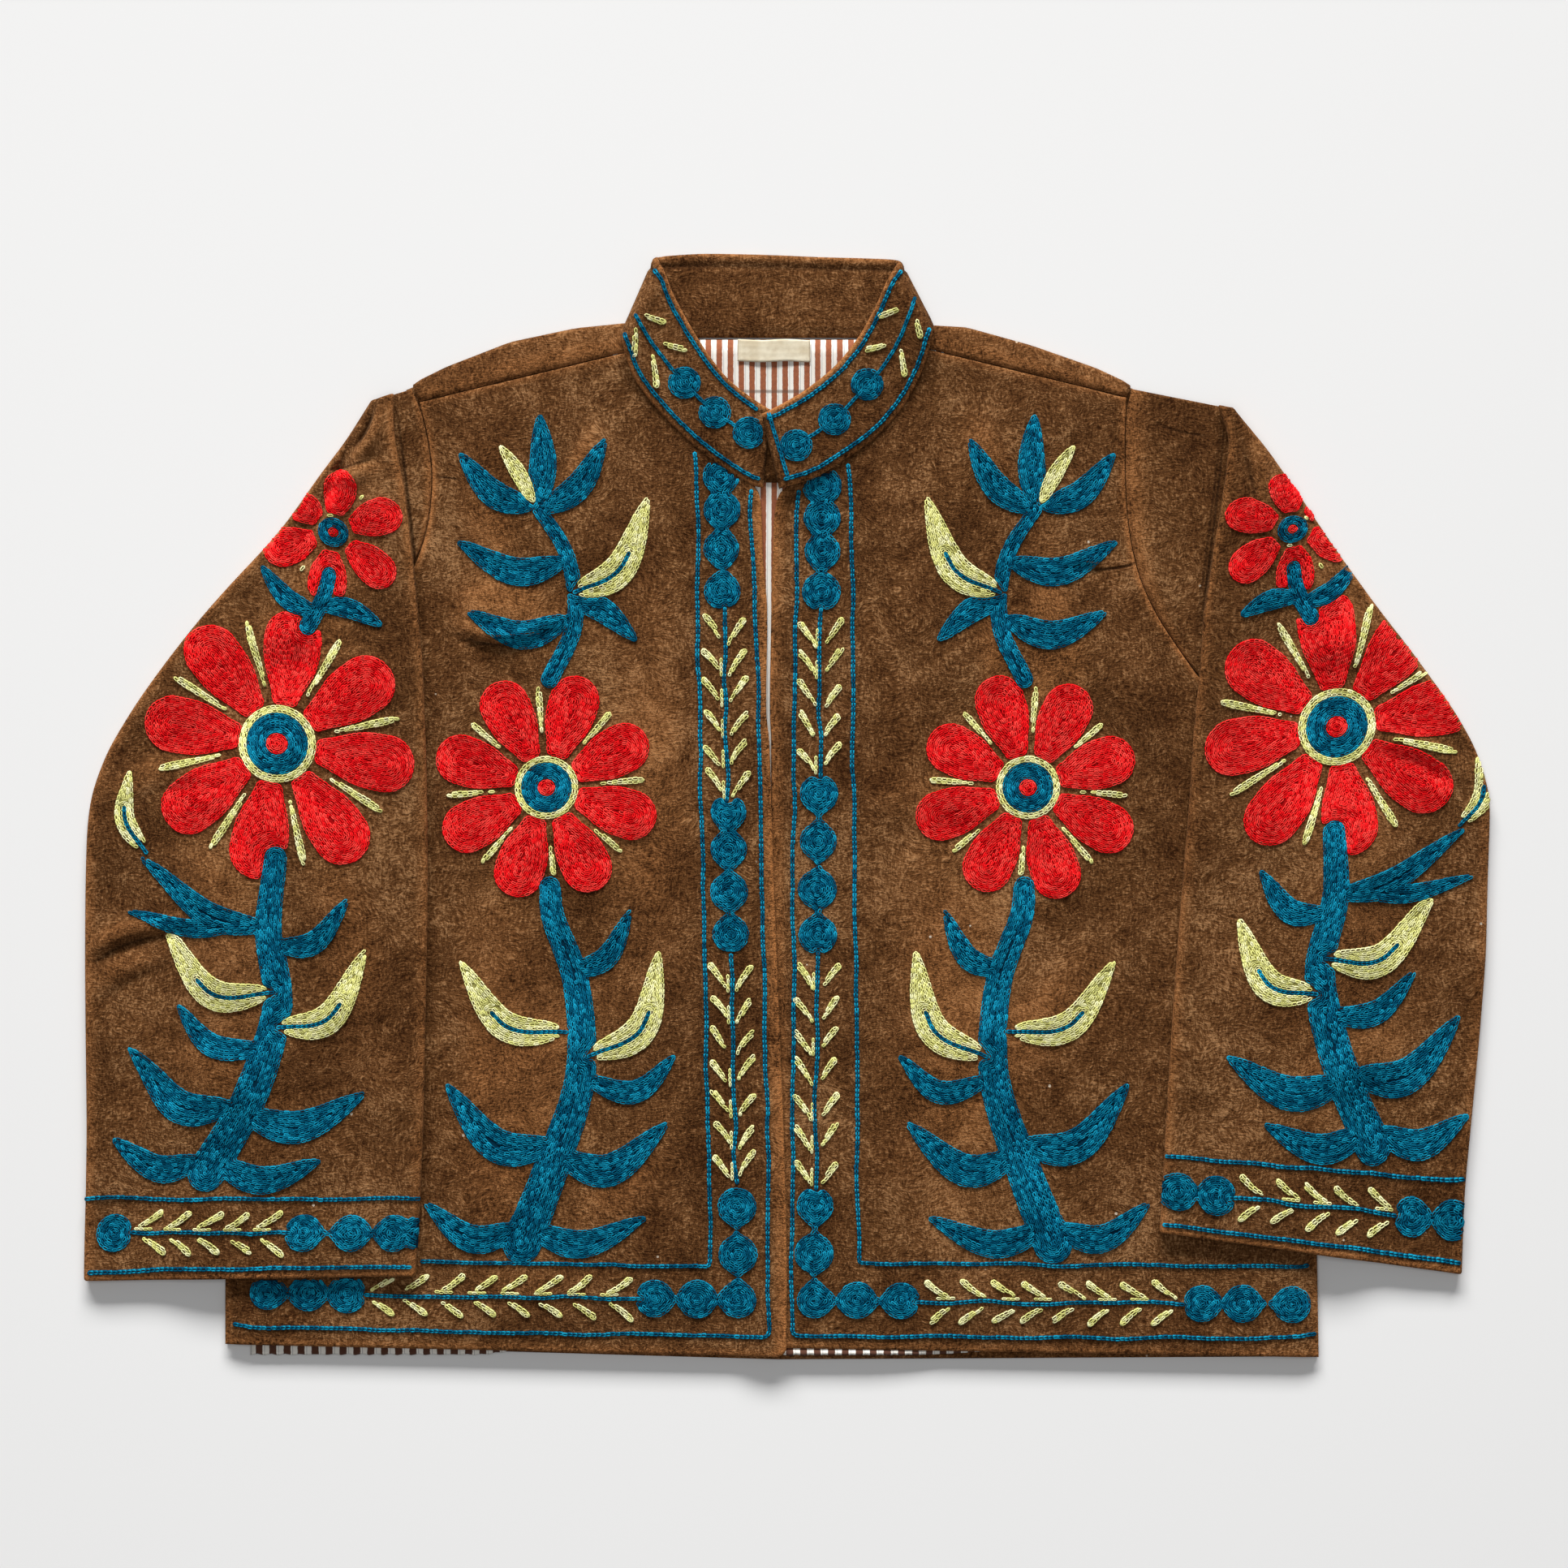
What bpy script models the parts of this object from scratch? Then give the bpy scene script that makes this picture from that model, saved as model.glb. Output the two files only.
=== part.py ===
"""Embroidered velvet jacket with a standing collar, laid flat on a surface with its fronts up.

Every panel is a wall of cloth on a grid of points. The two fronts lie on the lining and the back,
the sleeves are folded over the fronts at their inner side, and the collar is a flattened ring.
X runs across the jacket, +Y runs from the hem to the collar, and +Z is up. The wearer's right is at -X.
Distances called out are measured from the middle of the jacket towards its side.
"""

from collections import namedtuple

import bpy
import numpy as np

# Cloth thicknesses and the gap that pieces keep at a seam
BACK_CLOTH = 0.0020
LINING_CLOTH = 0.0010
FRONT_CLOTH = 0.0024
SLEEVE_CLOTH = 0.0022
COLLAR_BAND = 0.0038
LABEL_CLOTH = 0.0008
SEAM_GAP = 0.0003
LAID_GAP = 0.0004
WIDE_GAP = 0.0006

# Heights of the middle of each layer above the surface
BACK_Z = BACK_CLOTH / 2
LINING_Z = BACK_CLOTH + SEAM_GAP + LINING_CLOTH / 2
FRONT_Z = LINING_Z + LINING_CLOTH / 2 + LAID_GAP + FRONT_CLOTH / 2
SLEEVE_FLOOR_Z = SLEEVE_CLOTH / 2
SLEEVE_ON_FRONT_Z = FRONT_Z + FRONT_CLOTH / 2 + SEAM_GAP + SLEEVE_CLOTH / 2

# Body panels
MIDDLE_X = -0.005
SIDE_ROLL = 0.010
SIDE_DROP = 0.0014
UNDERARM_Y = 0.0099
FRONT_LOFT = 0.0016
FRONT_OVERLAP_LIFT = 0.0027
SHOULDER_ROLL = 0.0022
LINING_INSET = 0.014
HEM_MIDDLE_Y = -0.3120
NECKLINE_Y = 0.2660
NECKLINE_SHARES = (0.0, 0.14, 0.28, 0.40)

# Sleeves
PLEAT_RISE = 0.0031
FOLD_RISE = 0.0050
SLEEVE_LOW_Z = 0.0058
DRAPE_WIDTH = 0.040
CLIMB_CLEARANCE = 0.0038
UNDERARM_SEAM_OUT = 0.013
UNDERARM_END_OUT = 0.009
UNDERARM_ROOM = 0.002
UNDERARM_REACH = 0.050
SHORT_LEAD = 0.004
LONG_LEAD = 0.006
PLEAT_DRAPE = 0.002
FOLD_SETTLE = 0.0012
SLEEVE_STOPS = (4, 3, 11, 7)
NEAR_UNDERARM = 0.004
PLEAT_ENDS = 0.012
SHARP_TURN = 0.003
SOFT_TURN = 0.004
ROUND_TURN = 0.006

FrontRow = namedtuple("FrontRow", "opening_x opening_y side_out side_y")
SleeveRow = namedtuple("SleeveRow", "inner_y outer_y fold edge pleat")
CollarRow = namedtuple("CollarRow", "neck_x neck_y neck_z rim_x rim_y rim_z")
Fold = namedtuple("Fold", "x0 y0 x1 y1 width height")

# Rows of the wearer's right front, from the hem to the shoulder seam
RIGHT_FRONT = [
    FrontRow(-0.0005, -0.3100, 0.3180, -0.3029),
    FrontRow(0.0000, -0.2740, 0.3180, -0.2707),
    FrontRow(-0.0005, -0.2300, 0.3175, -0.2270),
    FrontRow(-0.0018, -0.1840, 0.3171, -0.1810),
    FrontRow(-0.0037, -0.1380, 0.3161, -0.1350),
    FrontRow(-0.0055, -0.0920, 0.3152, -0.0890),
    FrontRow(-0.0071, -0.0500, 0.3134, -0.0476),
    FrontRow(-0.0083, -0.0150, 0.3106, -0.0131),
    FrontRow(-0.0092, 0.0150, 0.3082, 0.0099),
    FrontRow(-0.0103, 0.0440, 0.2875, 0.0329),
    FrontRow(-0.0110, 0.0720, 0.2622, 0.0591),
    FrontRow(-0.0117, 0.0996, 0.2438, 0.0812),
    FrontRow(-0.0136, 0.1249, 0.2277, 0.1065),
    FrontRow(-0.0152, 0.1480, 0.2139, 0.1295),
    FrontRow(-0.0161, 0.1660, 0.2075, 0.1442),
    FrontRow(-0.0175, 0.1800, 0.2029, 0.1594),
    FrontRow(-0.0340, 0.1907, 0.2006, 0.1778),
    FrontRow(-0.0515, 0.2036, 0.2006, 0.1939),
    FrontRow(-0.0708, 0.2215, 0.2024, 0.2063),
    FrontRow(-0.0856, 0.2394, 0.2047, 0.2183),
    FrontRow(-0.0938, 0.2574, 0.2079, 0.2298),
]

# Rows of the wearer's left front
LEFT_FRONT = [
    FrontRow(-0.0046, -0.3050, 0.3008, -0.3103),
    FrontRow(-0.0046, -0.2300, 0.2994, -0.2270),
    FrontRow(-0.0055, -0.1840, 0.2985, -0.1810),
    FrontRow(-0.0067, -0.1380, 0.2976, -0.1350),
    FrontRow(-0.0076, -0.0920, 0.2967, -0.0890),
    FrontRow(-0.0083, -0.0500, 0.2953, -0.0476),
    FrontRow(-0.0087, -0.0150, 0.2930, -0.0154),
    FrontRow(-0.0090, 0.0150, 0.2898, 0.0099),
    FrontRow(-0.0090, 0.0420, 0.2691, 0.0343),
    FrontRow(-0.0087, 0.0650, 0.2484, 0.0559),
    FrontRow(-0.0083, 0.0900, 0.2314, 0.0757),
    FrontRow(-0.0076, 0.1130, 0.2203, 0.0918),
    FrontRow(-0.0069, 0.1340, 0.2088, 0.1088),
    FrontRow(-0.0060, 0.1600, 0.1992, 0.1295),
    FrontRow(-0.0030, 0.1790, 0.1941, 0.1502),
    FrontRow(0.0161, 0.1861, 0.1918, 0.1686),
    FrontRow(0.0340, 0.1971, 0.1909, 0.1870),
    FrontRow(0.0515, 0.2100, 0.1909, 0.2017),
    FrontRow(0.0662, 0.2266, 0.1909, 0.2146),
    FrontRow(0.0759, 0.2440, 0.1914, 0.2238),
    FrontRow(0.0828, 0.2590, 0.1918, 0.2325),
]

# Rows of the sleeves, from the top of the cap to the cuff. Where the inner fold lies over the
# front, the row starts at the fold, and elsewhere at the armhole seam.
RIGHT_SLEEVE = [
    SleeveRow(0.2375, 0.2300, 0.2225, 0.2345, 0.002),
    SleeveRow(0.2298, 0.2190, 0.2232, 0.2420, 0.002),
    SleeveRow(0.2183, 0.2080, 0.2230, 0.2485, 0.002),
    SleeveRow(0.2063, 0.1975, 0.2213, 0.2572, 0.008),
    SleeveRow(0.1939, 0.1870, 0.2190, 0.2654, 0.010),
    SleeveRow(0.1778, 0.1740, 0.2160, 0.2745, 0.010),
    SleeveRow(0.1594, 0.1594, 0.2140, 0.2850, 0.008),
    SleeveRow(0.1442, 0.1442, 0.2125, 0.2982, 0.005),
    SleeveRow(0.1295, 0.1295, 0.2104, 0.3125, 0.000),
    SleeveRow(0.1065, 0.1065, 0.2090, 0.3330, 0.000),
    SleeveRow(0.0812, 0.0812, 0.2065, 0.3528, 0.000),
    SleeveRow(0.0591, 0.0591, 0.2057, 0.3686, 0.000),
    SleeveRow(0.0329, 0.0329, 0.2048, 0.3846, 0.000),
    SleeveRow(0.0099, 0.0099, 0.2044, 0.3933, 0.000),
    SleeveRow(0.0040, 0.0040, 0.2043, 0.3945, 0.000),
    SleeveRow(-0.0131, -0.0131, 0.2040, 0.3964, 0.000),
    SleeveRow(-0.0476, -0.0476, 0.2038, 0.3972, 0.000),
    SleeveRow(-0.0890, -0.0890, 0.2045, 0.3974, 0.000),
    SleeveRow(-0.1350, -0.1350, 0.2054, 0.3970, 0.000),
    SleeveRow(-0.1810, -0.1810, 0.2064, 0.3964, 0.000),
    SleeveRow(-0.2200, -0.2200, 0.2080, 0.3970, 0.000),
    SleeveRow(-0.2470, -0.2480, 0.2096, 0.3978, 0.000),
    SleeveRow(-0.2634, -0.2670, 0.2108, 0.3980, 0.000),
]
LEFT_SLEEVE = [
    SleeveRow(0.2375, 0.2258, 0.2435, 0.2515, 0.003),
    SleeveRow(0.2325, 0.2150, 0.2478, 0.2599, 0.002),
    SleeveRow(0.2238, 0.2060, 0.2505, 0.2686, 0.002),
    SleeveRow(0.2146, 0.1990, 0.2500, 0.2737, 0.006),
    SleeveRow(0.2017, 0.1900, 0.2487, 0.2800, 0.009),
    SleeveRow(0.1870, 0.1800, 0.2475, 0.2877, 0.012),
    SleeveRow(0.1686, 0.1660, 0.2450, 0.2972, 0.012),
    SleeveRow(0.1502, 0.1502, 0.2418, 0.3077, 0.012),
    SleeveRow(0.1295, 0.1295, 0.2383, 0.3225, 0.011),
    SleeveRow(0.1088, 0.1088, 0.2352, 0.3376, 0.009),
    SleeveRow(0.0918, 0.0918, 0.2347, 0.3512, 0.006),
    SleeveRow(0.0757, 0.0757, 0.2335, 0.3628, 0.004),
    SleeveRow(0.0660, 0.0660, 0.2324, 0.3700, 0.000),
    SleeveRow(0.0559, 0.0559, 0.2316, 0.3772, 0.000),
    SleeveRow(0.0343, 0.0343, 0.2296, 0.3897, 0.000),
    SleeveRow(0.0099, 0.0099, 0.2283, 0.3974, 0.000),
    SleeveRow(0.0040, 0.0040, 0.2279, 0.3978, 0.000),
    SleeveRow(-0.0045, -0.0035, 0.2272, 0.3977, 0.000),
    SleeveRow(-0.0154, -0.0120, 0.2262, 0.3975, 0.000),
    SleeveRow(-0.0476, -0.0420, 0.2236, 0.3964, 0.000),
    SleeveRow(-0.0850, -0.0830, 0.2206, 0.3955, 0.000),
    SleeveRow(-0.1250, -0.1290, 0.2179, 0.3918, 0.000),
    SleeveRow(-0.1640, -0.1740, 0.2154, 0.3875, 0.000),
    SleeveRow(-0.1990, -0.2150, 0.2136, 0.3835, 0.000),
    SleeveRow(-0.2230, -0.2440, 0.2122, 0.3824, 0.000),
    SleeveRow(-0.2390, -0.2634, 0.2110, 0.3818, 0.000),
]

# The top of each shoulder, where the back rolls forward, and the shoulder seam, outward from the neck
RIGHT_SHOULDER_TOP = [(0.0950, 0.2742), (0.1196, 0.2711), (0.1564, 0.2633), (0.1932, 0.2490), (0.2116, 0.2398)]
RIGHT_SHOULDER_SEAM = [(0.0938, 0.2574), (0.2079, 0.2298)]
LEFT_SHOULDER_TOP = [(0.0850, 0.2728), (0.1012, 0.2716), (0.1380, 0.2614), (0.1748, 0.2485), (0.1941, 0.2394)]
LEFT_SHOULDER_SEAM = [(0.0828, 0.2590), (0.1918, 0.2325)]

# The top edge of the lining, from shoulder to shoulder through the neckline
LINING_TOP = [
    (-0.120, 0.2460),
    (-0.105, 0.2540),
    (-0.088, 0.2650),
    (-0.050, 0.2655),
    (-0.005, 0.2655),
    (0.040, 0.2655),
    (0.078, 0.2650),
    (0.095, 0.2540),
    (0.110, 0.2460),
]

# The collar band from its wearer's right end round the back to its left end
COLLAR = [
    CollarRow(-0.0135, 0.1815, 0.0057, -0.0095, 0.2255, 0.0064),
    CollarRow(-0.0200, 0.1832, 0.0057, -0.0190, 0.2315, 0.0068),
    CollarRow(-0.0338, 0.1914, 0.0057, -0.0335, 0.2430, 0.0076),
    CollarRow(-0.0512, 0.2043, 0.0058, -0.0455, 0.2580, 0.0088),
    CollarRow(-0.0700, 0.2222, 0.0064, -0.0560, 0.2750, 0.0102),
    CollarRow(-0.0845, 0.2400, 0.0080, -0.0635, 0.2890, 0.0114),
    CollarRow(-0.0900, 0.2520, 0.0104, -0.0675, 0.2985, 0.0120),
    CollarRow(-0.0922, 0.2600, 0.0120, -0.0700, 0.3045, 0.0122),
    CollarRow(-0.0929, 0.2668, 0.0076, -0.0733, 0.3108, 0.0076),
    CollarRow(-0.0905, 0.2674, 0.0027, -0.0725, 0.3122, 0.0027),
    CollarRow(-0.0850, 0.2670, 0.0019, -0.0660, 0.3132, 0.0019),
    CollarRow(-0.0600, 0.2667, 0.0019, -0.0480, 0.3142, 0.0019),
    CollarRow(-0.0320, 0.2667, 0.0019, -0.0270, 0.3140, 0.0019),
    CollarRow(-0.0050, 0.2667, 0.0019, -0.0050, 0.3134, 0.0019),
    CollarRow(0.0220, 0.2667, 0.0019, 0.0180, 0.3124, 0.0019),
    CollarRow(0.0500, 0.2667, 0.0019, 0.0400, 0.3118, 0.0019),
    CollarRow(0.0730, 0.2680, 0.0019, 0.0560, 0.3112, 0.0019),
    CollarRow(0.0790, 0.2700, 0.0027, 0.0610, 0.3106, 0.0027),
    CollarRow(0.0818, 0.2716, 0.0076, 0.0625, 0.3085, 0.0076),
    CollarRow(0.0812, 0.2650, 0.0122, 0.0592, 0.3030, 0.0122),
    CollarRow(0.0795, 0.2570, 0.0110, 0.0550, 0.2950, 0.0122),
    CollarRow(0.0750, 0.2446, 0.0080, 0.0495, 0.2830, 0.0112),
    CollarRow(0.0655, 0.2274, 0.0062, 0.0400, 0.2660, 0.0100),
    CollarRow(0.0509, 0.2107, 0.0060, 0.0270, 0.2500, 0.0096),
    CollarRow(0.0336, 0.1980, 0.0070, 0.0110, 0.2370, 0.0098),
    CollarRow(0.0158, 0.1870, 0.0090, -0.0020, 0.2290, 0.0106),
    CollarRow(-0.0045, 0.1806, 0.0101, -0.0146, 0.2225, 0.0112),
]
COLLAR_ROWS_BETWEEN = 2
COLLAR_CELLS_UP = 4

LABEL_WIDTH = 0.041
LABEL_HEIGHT = 0.0125
LABEL_CENTRE = (-0.0075, 0.2592)

# The largest folds in the fronts and sleeves, as ridges along a line
FRONT_FOLDS = [
    Fold(-0.190, 0.105, -0.135, 0.100, 0.010, 0.0016),
    Fold(-0.170, -0.080, -0.150, -0.240, 0.030, 0.0010),
    Fold(-0.075, 0.080, -0.080, -0.060, 0.028, 0.0010),
    Fold(0.145, 0.130, 0.150, 0.040, 0.012, 0.0016),
    Fold(0.090, -0.040, 0.100, -0.200, 0.030, 0.0010),
]
SLEEVE_FOLDS = [
    Fold(-0.245, 0.160, -0.300, 0.080, 0.014, 0.0012),
    Fold(-0.330, -0.020, -0.310, -0.160, 0.020, 0.0010),
    Fold(-0.395, -0.078, -0.350, -0.062, 0.010, 0.0012),
    Fold(0.275, 0.170, 0.320, 0.090, 0.014, 0.0012),
    Fold(0.320, 0.020, 0.305, -0.150, 0.020, 0.0010),
]

VELVET = ("brown velvet", (0.095, 0.042, 0.016), 0.85)
STRIPE = ("striped lining", (0.62, 0.56, 0.47), 0.70)
CREAM = ("cream tape", (0.72, 0.66, 0.52), 0.75)


def smooth_step(share):
    """0 below 0, 1 above 1 and an even S curve between."""
    share = np.clip(share, 0.0, 1.0)
    return share * share * (3 - 2 * share)


def ridges(x, y, folds):
    """Height of soft ridges: each falls away from its line as a bell curve."""
    height = np.zeros(np.shape(x))
    for fold in folds:
        along_x = fold.x1 - fold.x0
        along_y = fold.y1 - fold.y0
        length_squared = along_x ** 2 + along_y ** 2
        share = np.clip(((x - fold.x0) * along_x + (y - fold.y0) * along_y) / length_squared, 0, 1)
        away = np.hypot(x - fold.x0 - share * along_x, y - fold.y0 - share * along_y)
        height = height + fold.height * np.exp(-(away / fold.width) ** 2)
    return height


def cloth_wall(grid, thickness, kept=None):
    """A closed wall round a grid of points, half its thickness to each side of the grid.

    kept marks the cells of the grid that the panel has, and all of them where it is left out.
    """
    rows, columns = grid.shape[:2]
    number = np.arange(rows * columns).reshape(rows, columns)
    cells = np.stack([number[:-1, :-1], number[:-1, 1:], number[1:, 1:], number[1:, :-1]], axis=-1)
    if kept is None:
        cells = cells.reshape(-1, 4)
    else:
        cells = cells[kept]
    used, cells = np.unique(cells, return_inverse=True)
    cells = cells.reshape(-1, 4)
    points = grid.reshape(-1, 3)[used]
    face_normals = np.cross(points[cells[:, 2]] - points[cells[:, 0]], points[cells[:, 3]] - points[cells[:, 1]])
    face_normals /= np.linalg.norm(face_normals, axis=1)[:, None]
    normals = np.zeros(points.shape)
    for corner in range(4):
        np.add.at(normals, cells[:, corner], face_normals)
    normals /= np.linalg.norm(normals, axis=1)[:, None]
    front = points + normals * thickness / 2
    rear = points - normals * thickness / 2
    count = len(points)
    faces = [tuple(cell) for cell in cells]
    faces += [tuple(count + corner for corner in reversed(cell)) for cell in cells]
    directed = {(int(cell[k]), int(cell[(k + 1) % 4])) for cell in cells for k in range(4)}
    for start, end in sorted(directed):
        if (end, start) not in directed:
            faces.append((end, start, count + start, count + end))
    return np.concatenate([front, rear]), faces


def front_panel(rows, sign, folds, sleeve_rows, lift):
    """A front from its opening edge to its side seam and armhole, a little full between.

    Its side rolls down to the back below the underarm. The opening edge that lies over the
    other front is lifted by lift.
    """
    share = np.array([0, 0.03, 0.10, 0.20, 0.32, 0.45, 0.58, 0.70, 0.80, 0.88, 0.94, 0.975, 1.0])
    opening = np.array([(row.opening_x, row.opening_y) for row in rows])
    side = np.array([(sign * row.side_out, row.side_y) for row in rows])
    flat = opening[:, None, :] + share[None, :, None] * (side - opening)[:, None, :]
    x = flat[..., 0]
    y = flat[..., 1]
    from_side = np.linalg.norm(flat - side[:, None, :], axis=2)
    from_opening = np.linalg.norm(flat - opening[:, None, :], axis=2)
    fold_y = [row.inner_y for row in reversed(sleeve_rows)]
    fold_out = [row.fold for row in reversed(sleeve_rows)]
    clear_of_sleeve = smooth_step((np.interp(y, fold_y, fold_out) - 0.030 - sign * x) / 0.030)
    clear_of_edges = smooth_step((from_opening - 0.030) / 0.040) * smooth_step((from_side - 0.008) / 0.030)
    top_y = rows[-1].opening_y
    clear_of_ends = smooth_step((top_y - 0.012 - y) / 0.030) * smooth_step((y + 0.300) / 0.030)
    free = clear_of_sleeve * clear_of_edges * clear_of_ends
    z = FRONT_Z + free * (FRONT_LOFT + ridges(x, y, folds))
    below_underarm = smooth_step((UNDERARM_Y + SIDE_ROLL - y) / (2 * SIDE_ROLL))
    z = z - SIDE_DROP * (1 - smooth_step(from_side / SIDE_ROLL)) * below_underarm
    over_other = 1 - smooth_step((from_opening - 0.012) / 0.020)
    overlap_rows = smooth_step((0.100 - y) / 0.055)
    z = z + lift * over_other * overlap_rows
    return np.dstack([x, y, z])


def back_half(front_rows, sign, shoulder_top, shoulder_seam):
    """Half of the back, from the middle to the side, with the shoulder rolled forward to its seam.

    The rows above the neckline exist only between the neck and the armhole.
    """
    side = [(row.side_out, row.side_y) for row in front_rows]
    neck_out, _ = shoulder_top[0]
    tip_out, tip_y = side[-1]
    neck_share = (neck_out - sign * MIDDLE_X) / (tip_out - sign * MIDDLE_X)
    share = np.concatenate([NECKLINE_SHARES, np.linspace(neck_share, 1.0, 6)])
    top_y = np.interp(share, [neck_share, 1.0], [NECKLINE_Y, tip_y])
    hem = np.interp(share, [0.0, 1.0], [HEM_MIDDLE_Y, side[0][1]])
    grid = []
    for out, y in side:
        height = (y - side[0][1]) / (tip_y - side[0][1])
        row_x = MIDDLE_X + share * (sign * out - MIDDLE_X)
        row_y = (1 - height) * hem + height * top_y
        grid.append(np.column_stack([row_x, row_y, np.full(len(share), BACK_Z)]))
    top_out, top_line = zip(*shoulder_top)
    seam_out, seam_line = zip(*shoulder_seam)
    roll_rise = FRONT_Z - BACK_Z
    shoulder_share = np.clip((share - neck_share) / (1 - neck_share), 0, 1)
    rolled_out = neck_out + shoulder_share * (top_out[-1] - neck_out)
    seam_at = neck_out + shoulder_share * (tip_out - neck_out)
    crest = np.interp(rolled_out, top_out, top_line)
    seam = np.interp(seam_at, seam_out, seam_line) + WIDE_GAP
    for inward, rise in ((1.0, 0.0), (0.28, 0.18), (0.0, 0.5), (0.28, 0.82), (1.0, 1.0)):
        row_x = np.where(share < neck_share, grid[-1][:, 0], sign * rolled_out)
        row_y = crest - inward * SHOULDER_ROLL
        row_z = np.full(len(share), BACK_Z + rise * roll_rise)
        grid.append(np.column_stack([row_x, row_y, row_z]))
    row_x = np.where(share < neck_share, grid[-1][:, 0], sign * seam_at)
    grid.append(np.column_stack([row_x, seam, np.full(len(share), FRONT_Z)]))
    grid = np.array(grid)
    kept = np.ones((len(grid) - 1, len(share) - 1), dtype=bool)
    kept[len(side) - 1:, :len(NECKLINE_SHARES)] = False
    return grid, kept


def back_panel():
    """The back: its two halves joined down the middle."""
    right, right_kept = back_half(RIGHT_FRONT, -1, RIGHT_SHOULDER_TOP, RIGHT_SHOULDER_SEAM)
    left, left_kept = back_half(LEFT_FRONT, 1, LEFT_SHOULDER_TOP, LEFT_SHOULDER_SEAM)
    middle = (right[:, :1] + left[:, :1]) / 2
    grid = np.concatenate([right[:, :0:-1], middle, left[:, 1:]], axis=1)
    kept = np.concatenate([right_kept[:, ::-1], left_kept], axis=1)
    return grid, kept


def lining_panel():
    """The lining of the back, set in from the side seams and reaching the neckline."""
    share = np.array([0, 0.08, 0.2, 0.35, 0.5, 0.65, 0.8, 0.92, 1.0])
    levels = np.array([-0.3085, -0.27, -0.21, -0.15, -0.09, -0.03, 0.0, 0.045, 0.09, 0.13, 0.17, 0.218])
    right_y = [row.side_y for row in RIGHT_FRONT]
    right_out = [row.side_out for row in RIGHT_FRONT]
    left_y = [row.side_y for row in LEFT_FRONT]
    left_out = [row.side_out for row in LEFT_FRONT]
    grid = []
    for level in levels:
        low_x = -(np.interp(level, right_y, right_out) - LINING_INSET)
        high_x = np.interp(level, left_y, left_out) - LINING_INSET
        row_x = low_x + share * (high_x - low_x)
        grid.append(np.column_stack([row_x, np.full(len(share), level), np.full(len(share), LINING_Z)]))
    neck_x, neck_y = zip(*LINING_TOP)
    grid.append(np.column_stack([neck_x, neck_y, np.full(len(share), LINING_Z)]))
    return np.array(grid)


def rounded_path(stations):
    """A path through stations (out, z, radius), its corners rounded, and the length at each station."""
    points = [np.array(stations[0][:2])]
    marks = [0]
    for index in range(1, len(stations) - 1):
        before = np.array(stations[index - 1][:2])
        here = np.array(stations[index][:2])
        after = np.array(stations[index + 1][:2])
        to_before = np.linalg.norm(before - here)
        to_after = np.linalg.norm(after - here)
        room_before = to_before * (0.5 if stations[index - 1][2] > 0 else 1.0)
        room_after = to_after * (0.5 if stations[index + 1][2] > 0 else 1.0)
        radius = min(stations[index][2], room_before, room_after)
        if radius > 0:
            start = here + (before - here) * radius / to_before
            end = here + (after - here) * radius / to_after
            share = np.linspace(0, 1, 9)[:, None]
            curve = (1 - share) ** 2 * start + 2 * share * (1 - share) * here + share ** 2 * end
            points.extend(curve)
            marks.append(len(points) - 5)
        else:
            points.append(here)
            marks.append(len(points) - 1)
    points.append(np.array(stations[-1][:2]))
    marks.append(len(points) - 1)
    points = np.array(points)
    steps = np.linalg.norm(np.diff(points, axis=0), axis=1)
    lengths = np.concatenate([[0], np.cumsum(steps)])
    return points, lengths, lengths[marks]


def stretch_stops(length, turn_before, turn_after, between):
    """Places along a stretch of a path: two in each turn at its ends, and the rest evenly between."""
    before = min(turn_before, length / 3)
    after = min(turn_after, length / 3)
    stops = list(np.linspace(before, length - after, between))
    if before > 0:
        stops = [0.0, before / 2] + stops
    if after > 0:
        stops = stops + [length - after / 2, length]
    return np.array(stops)


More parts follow.
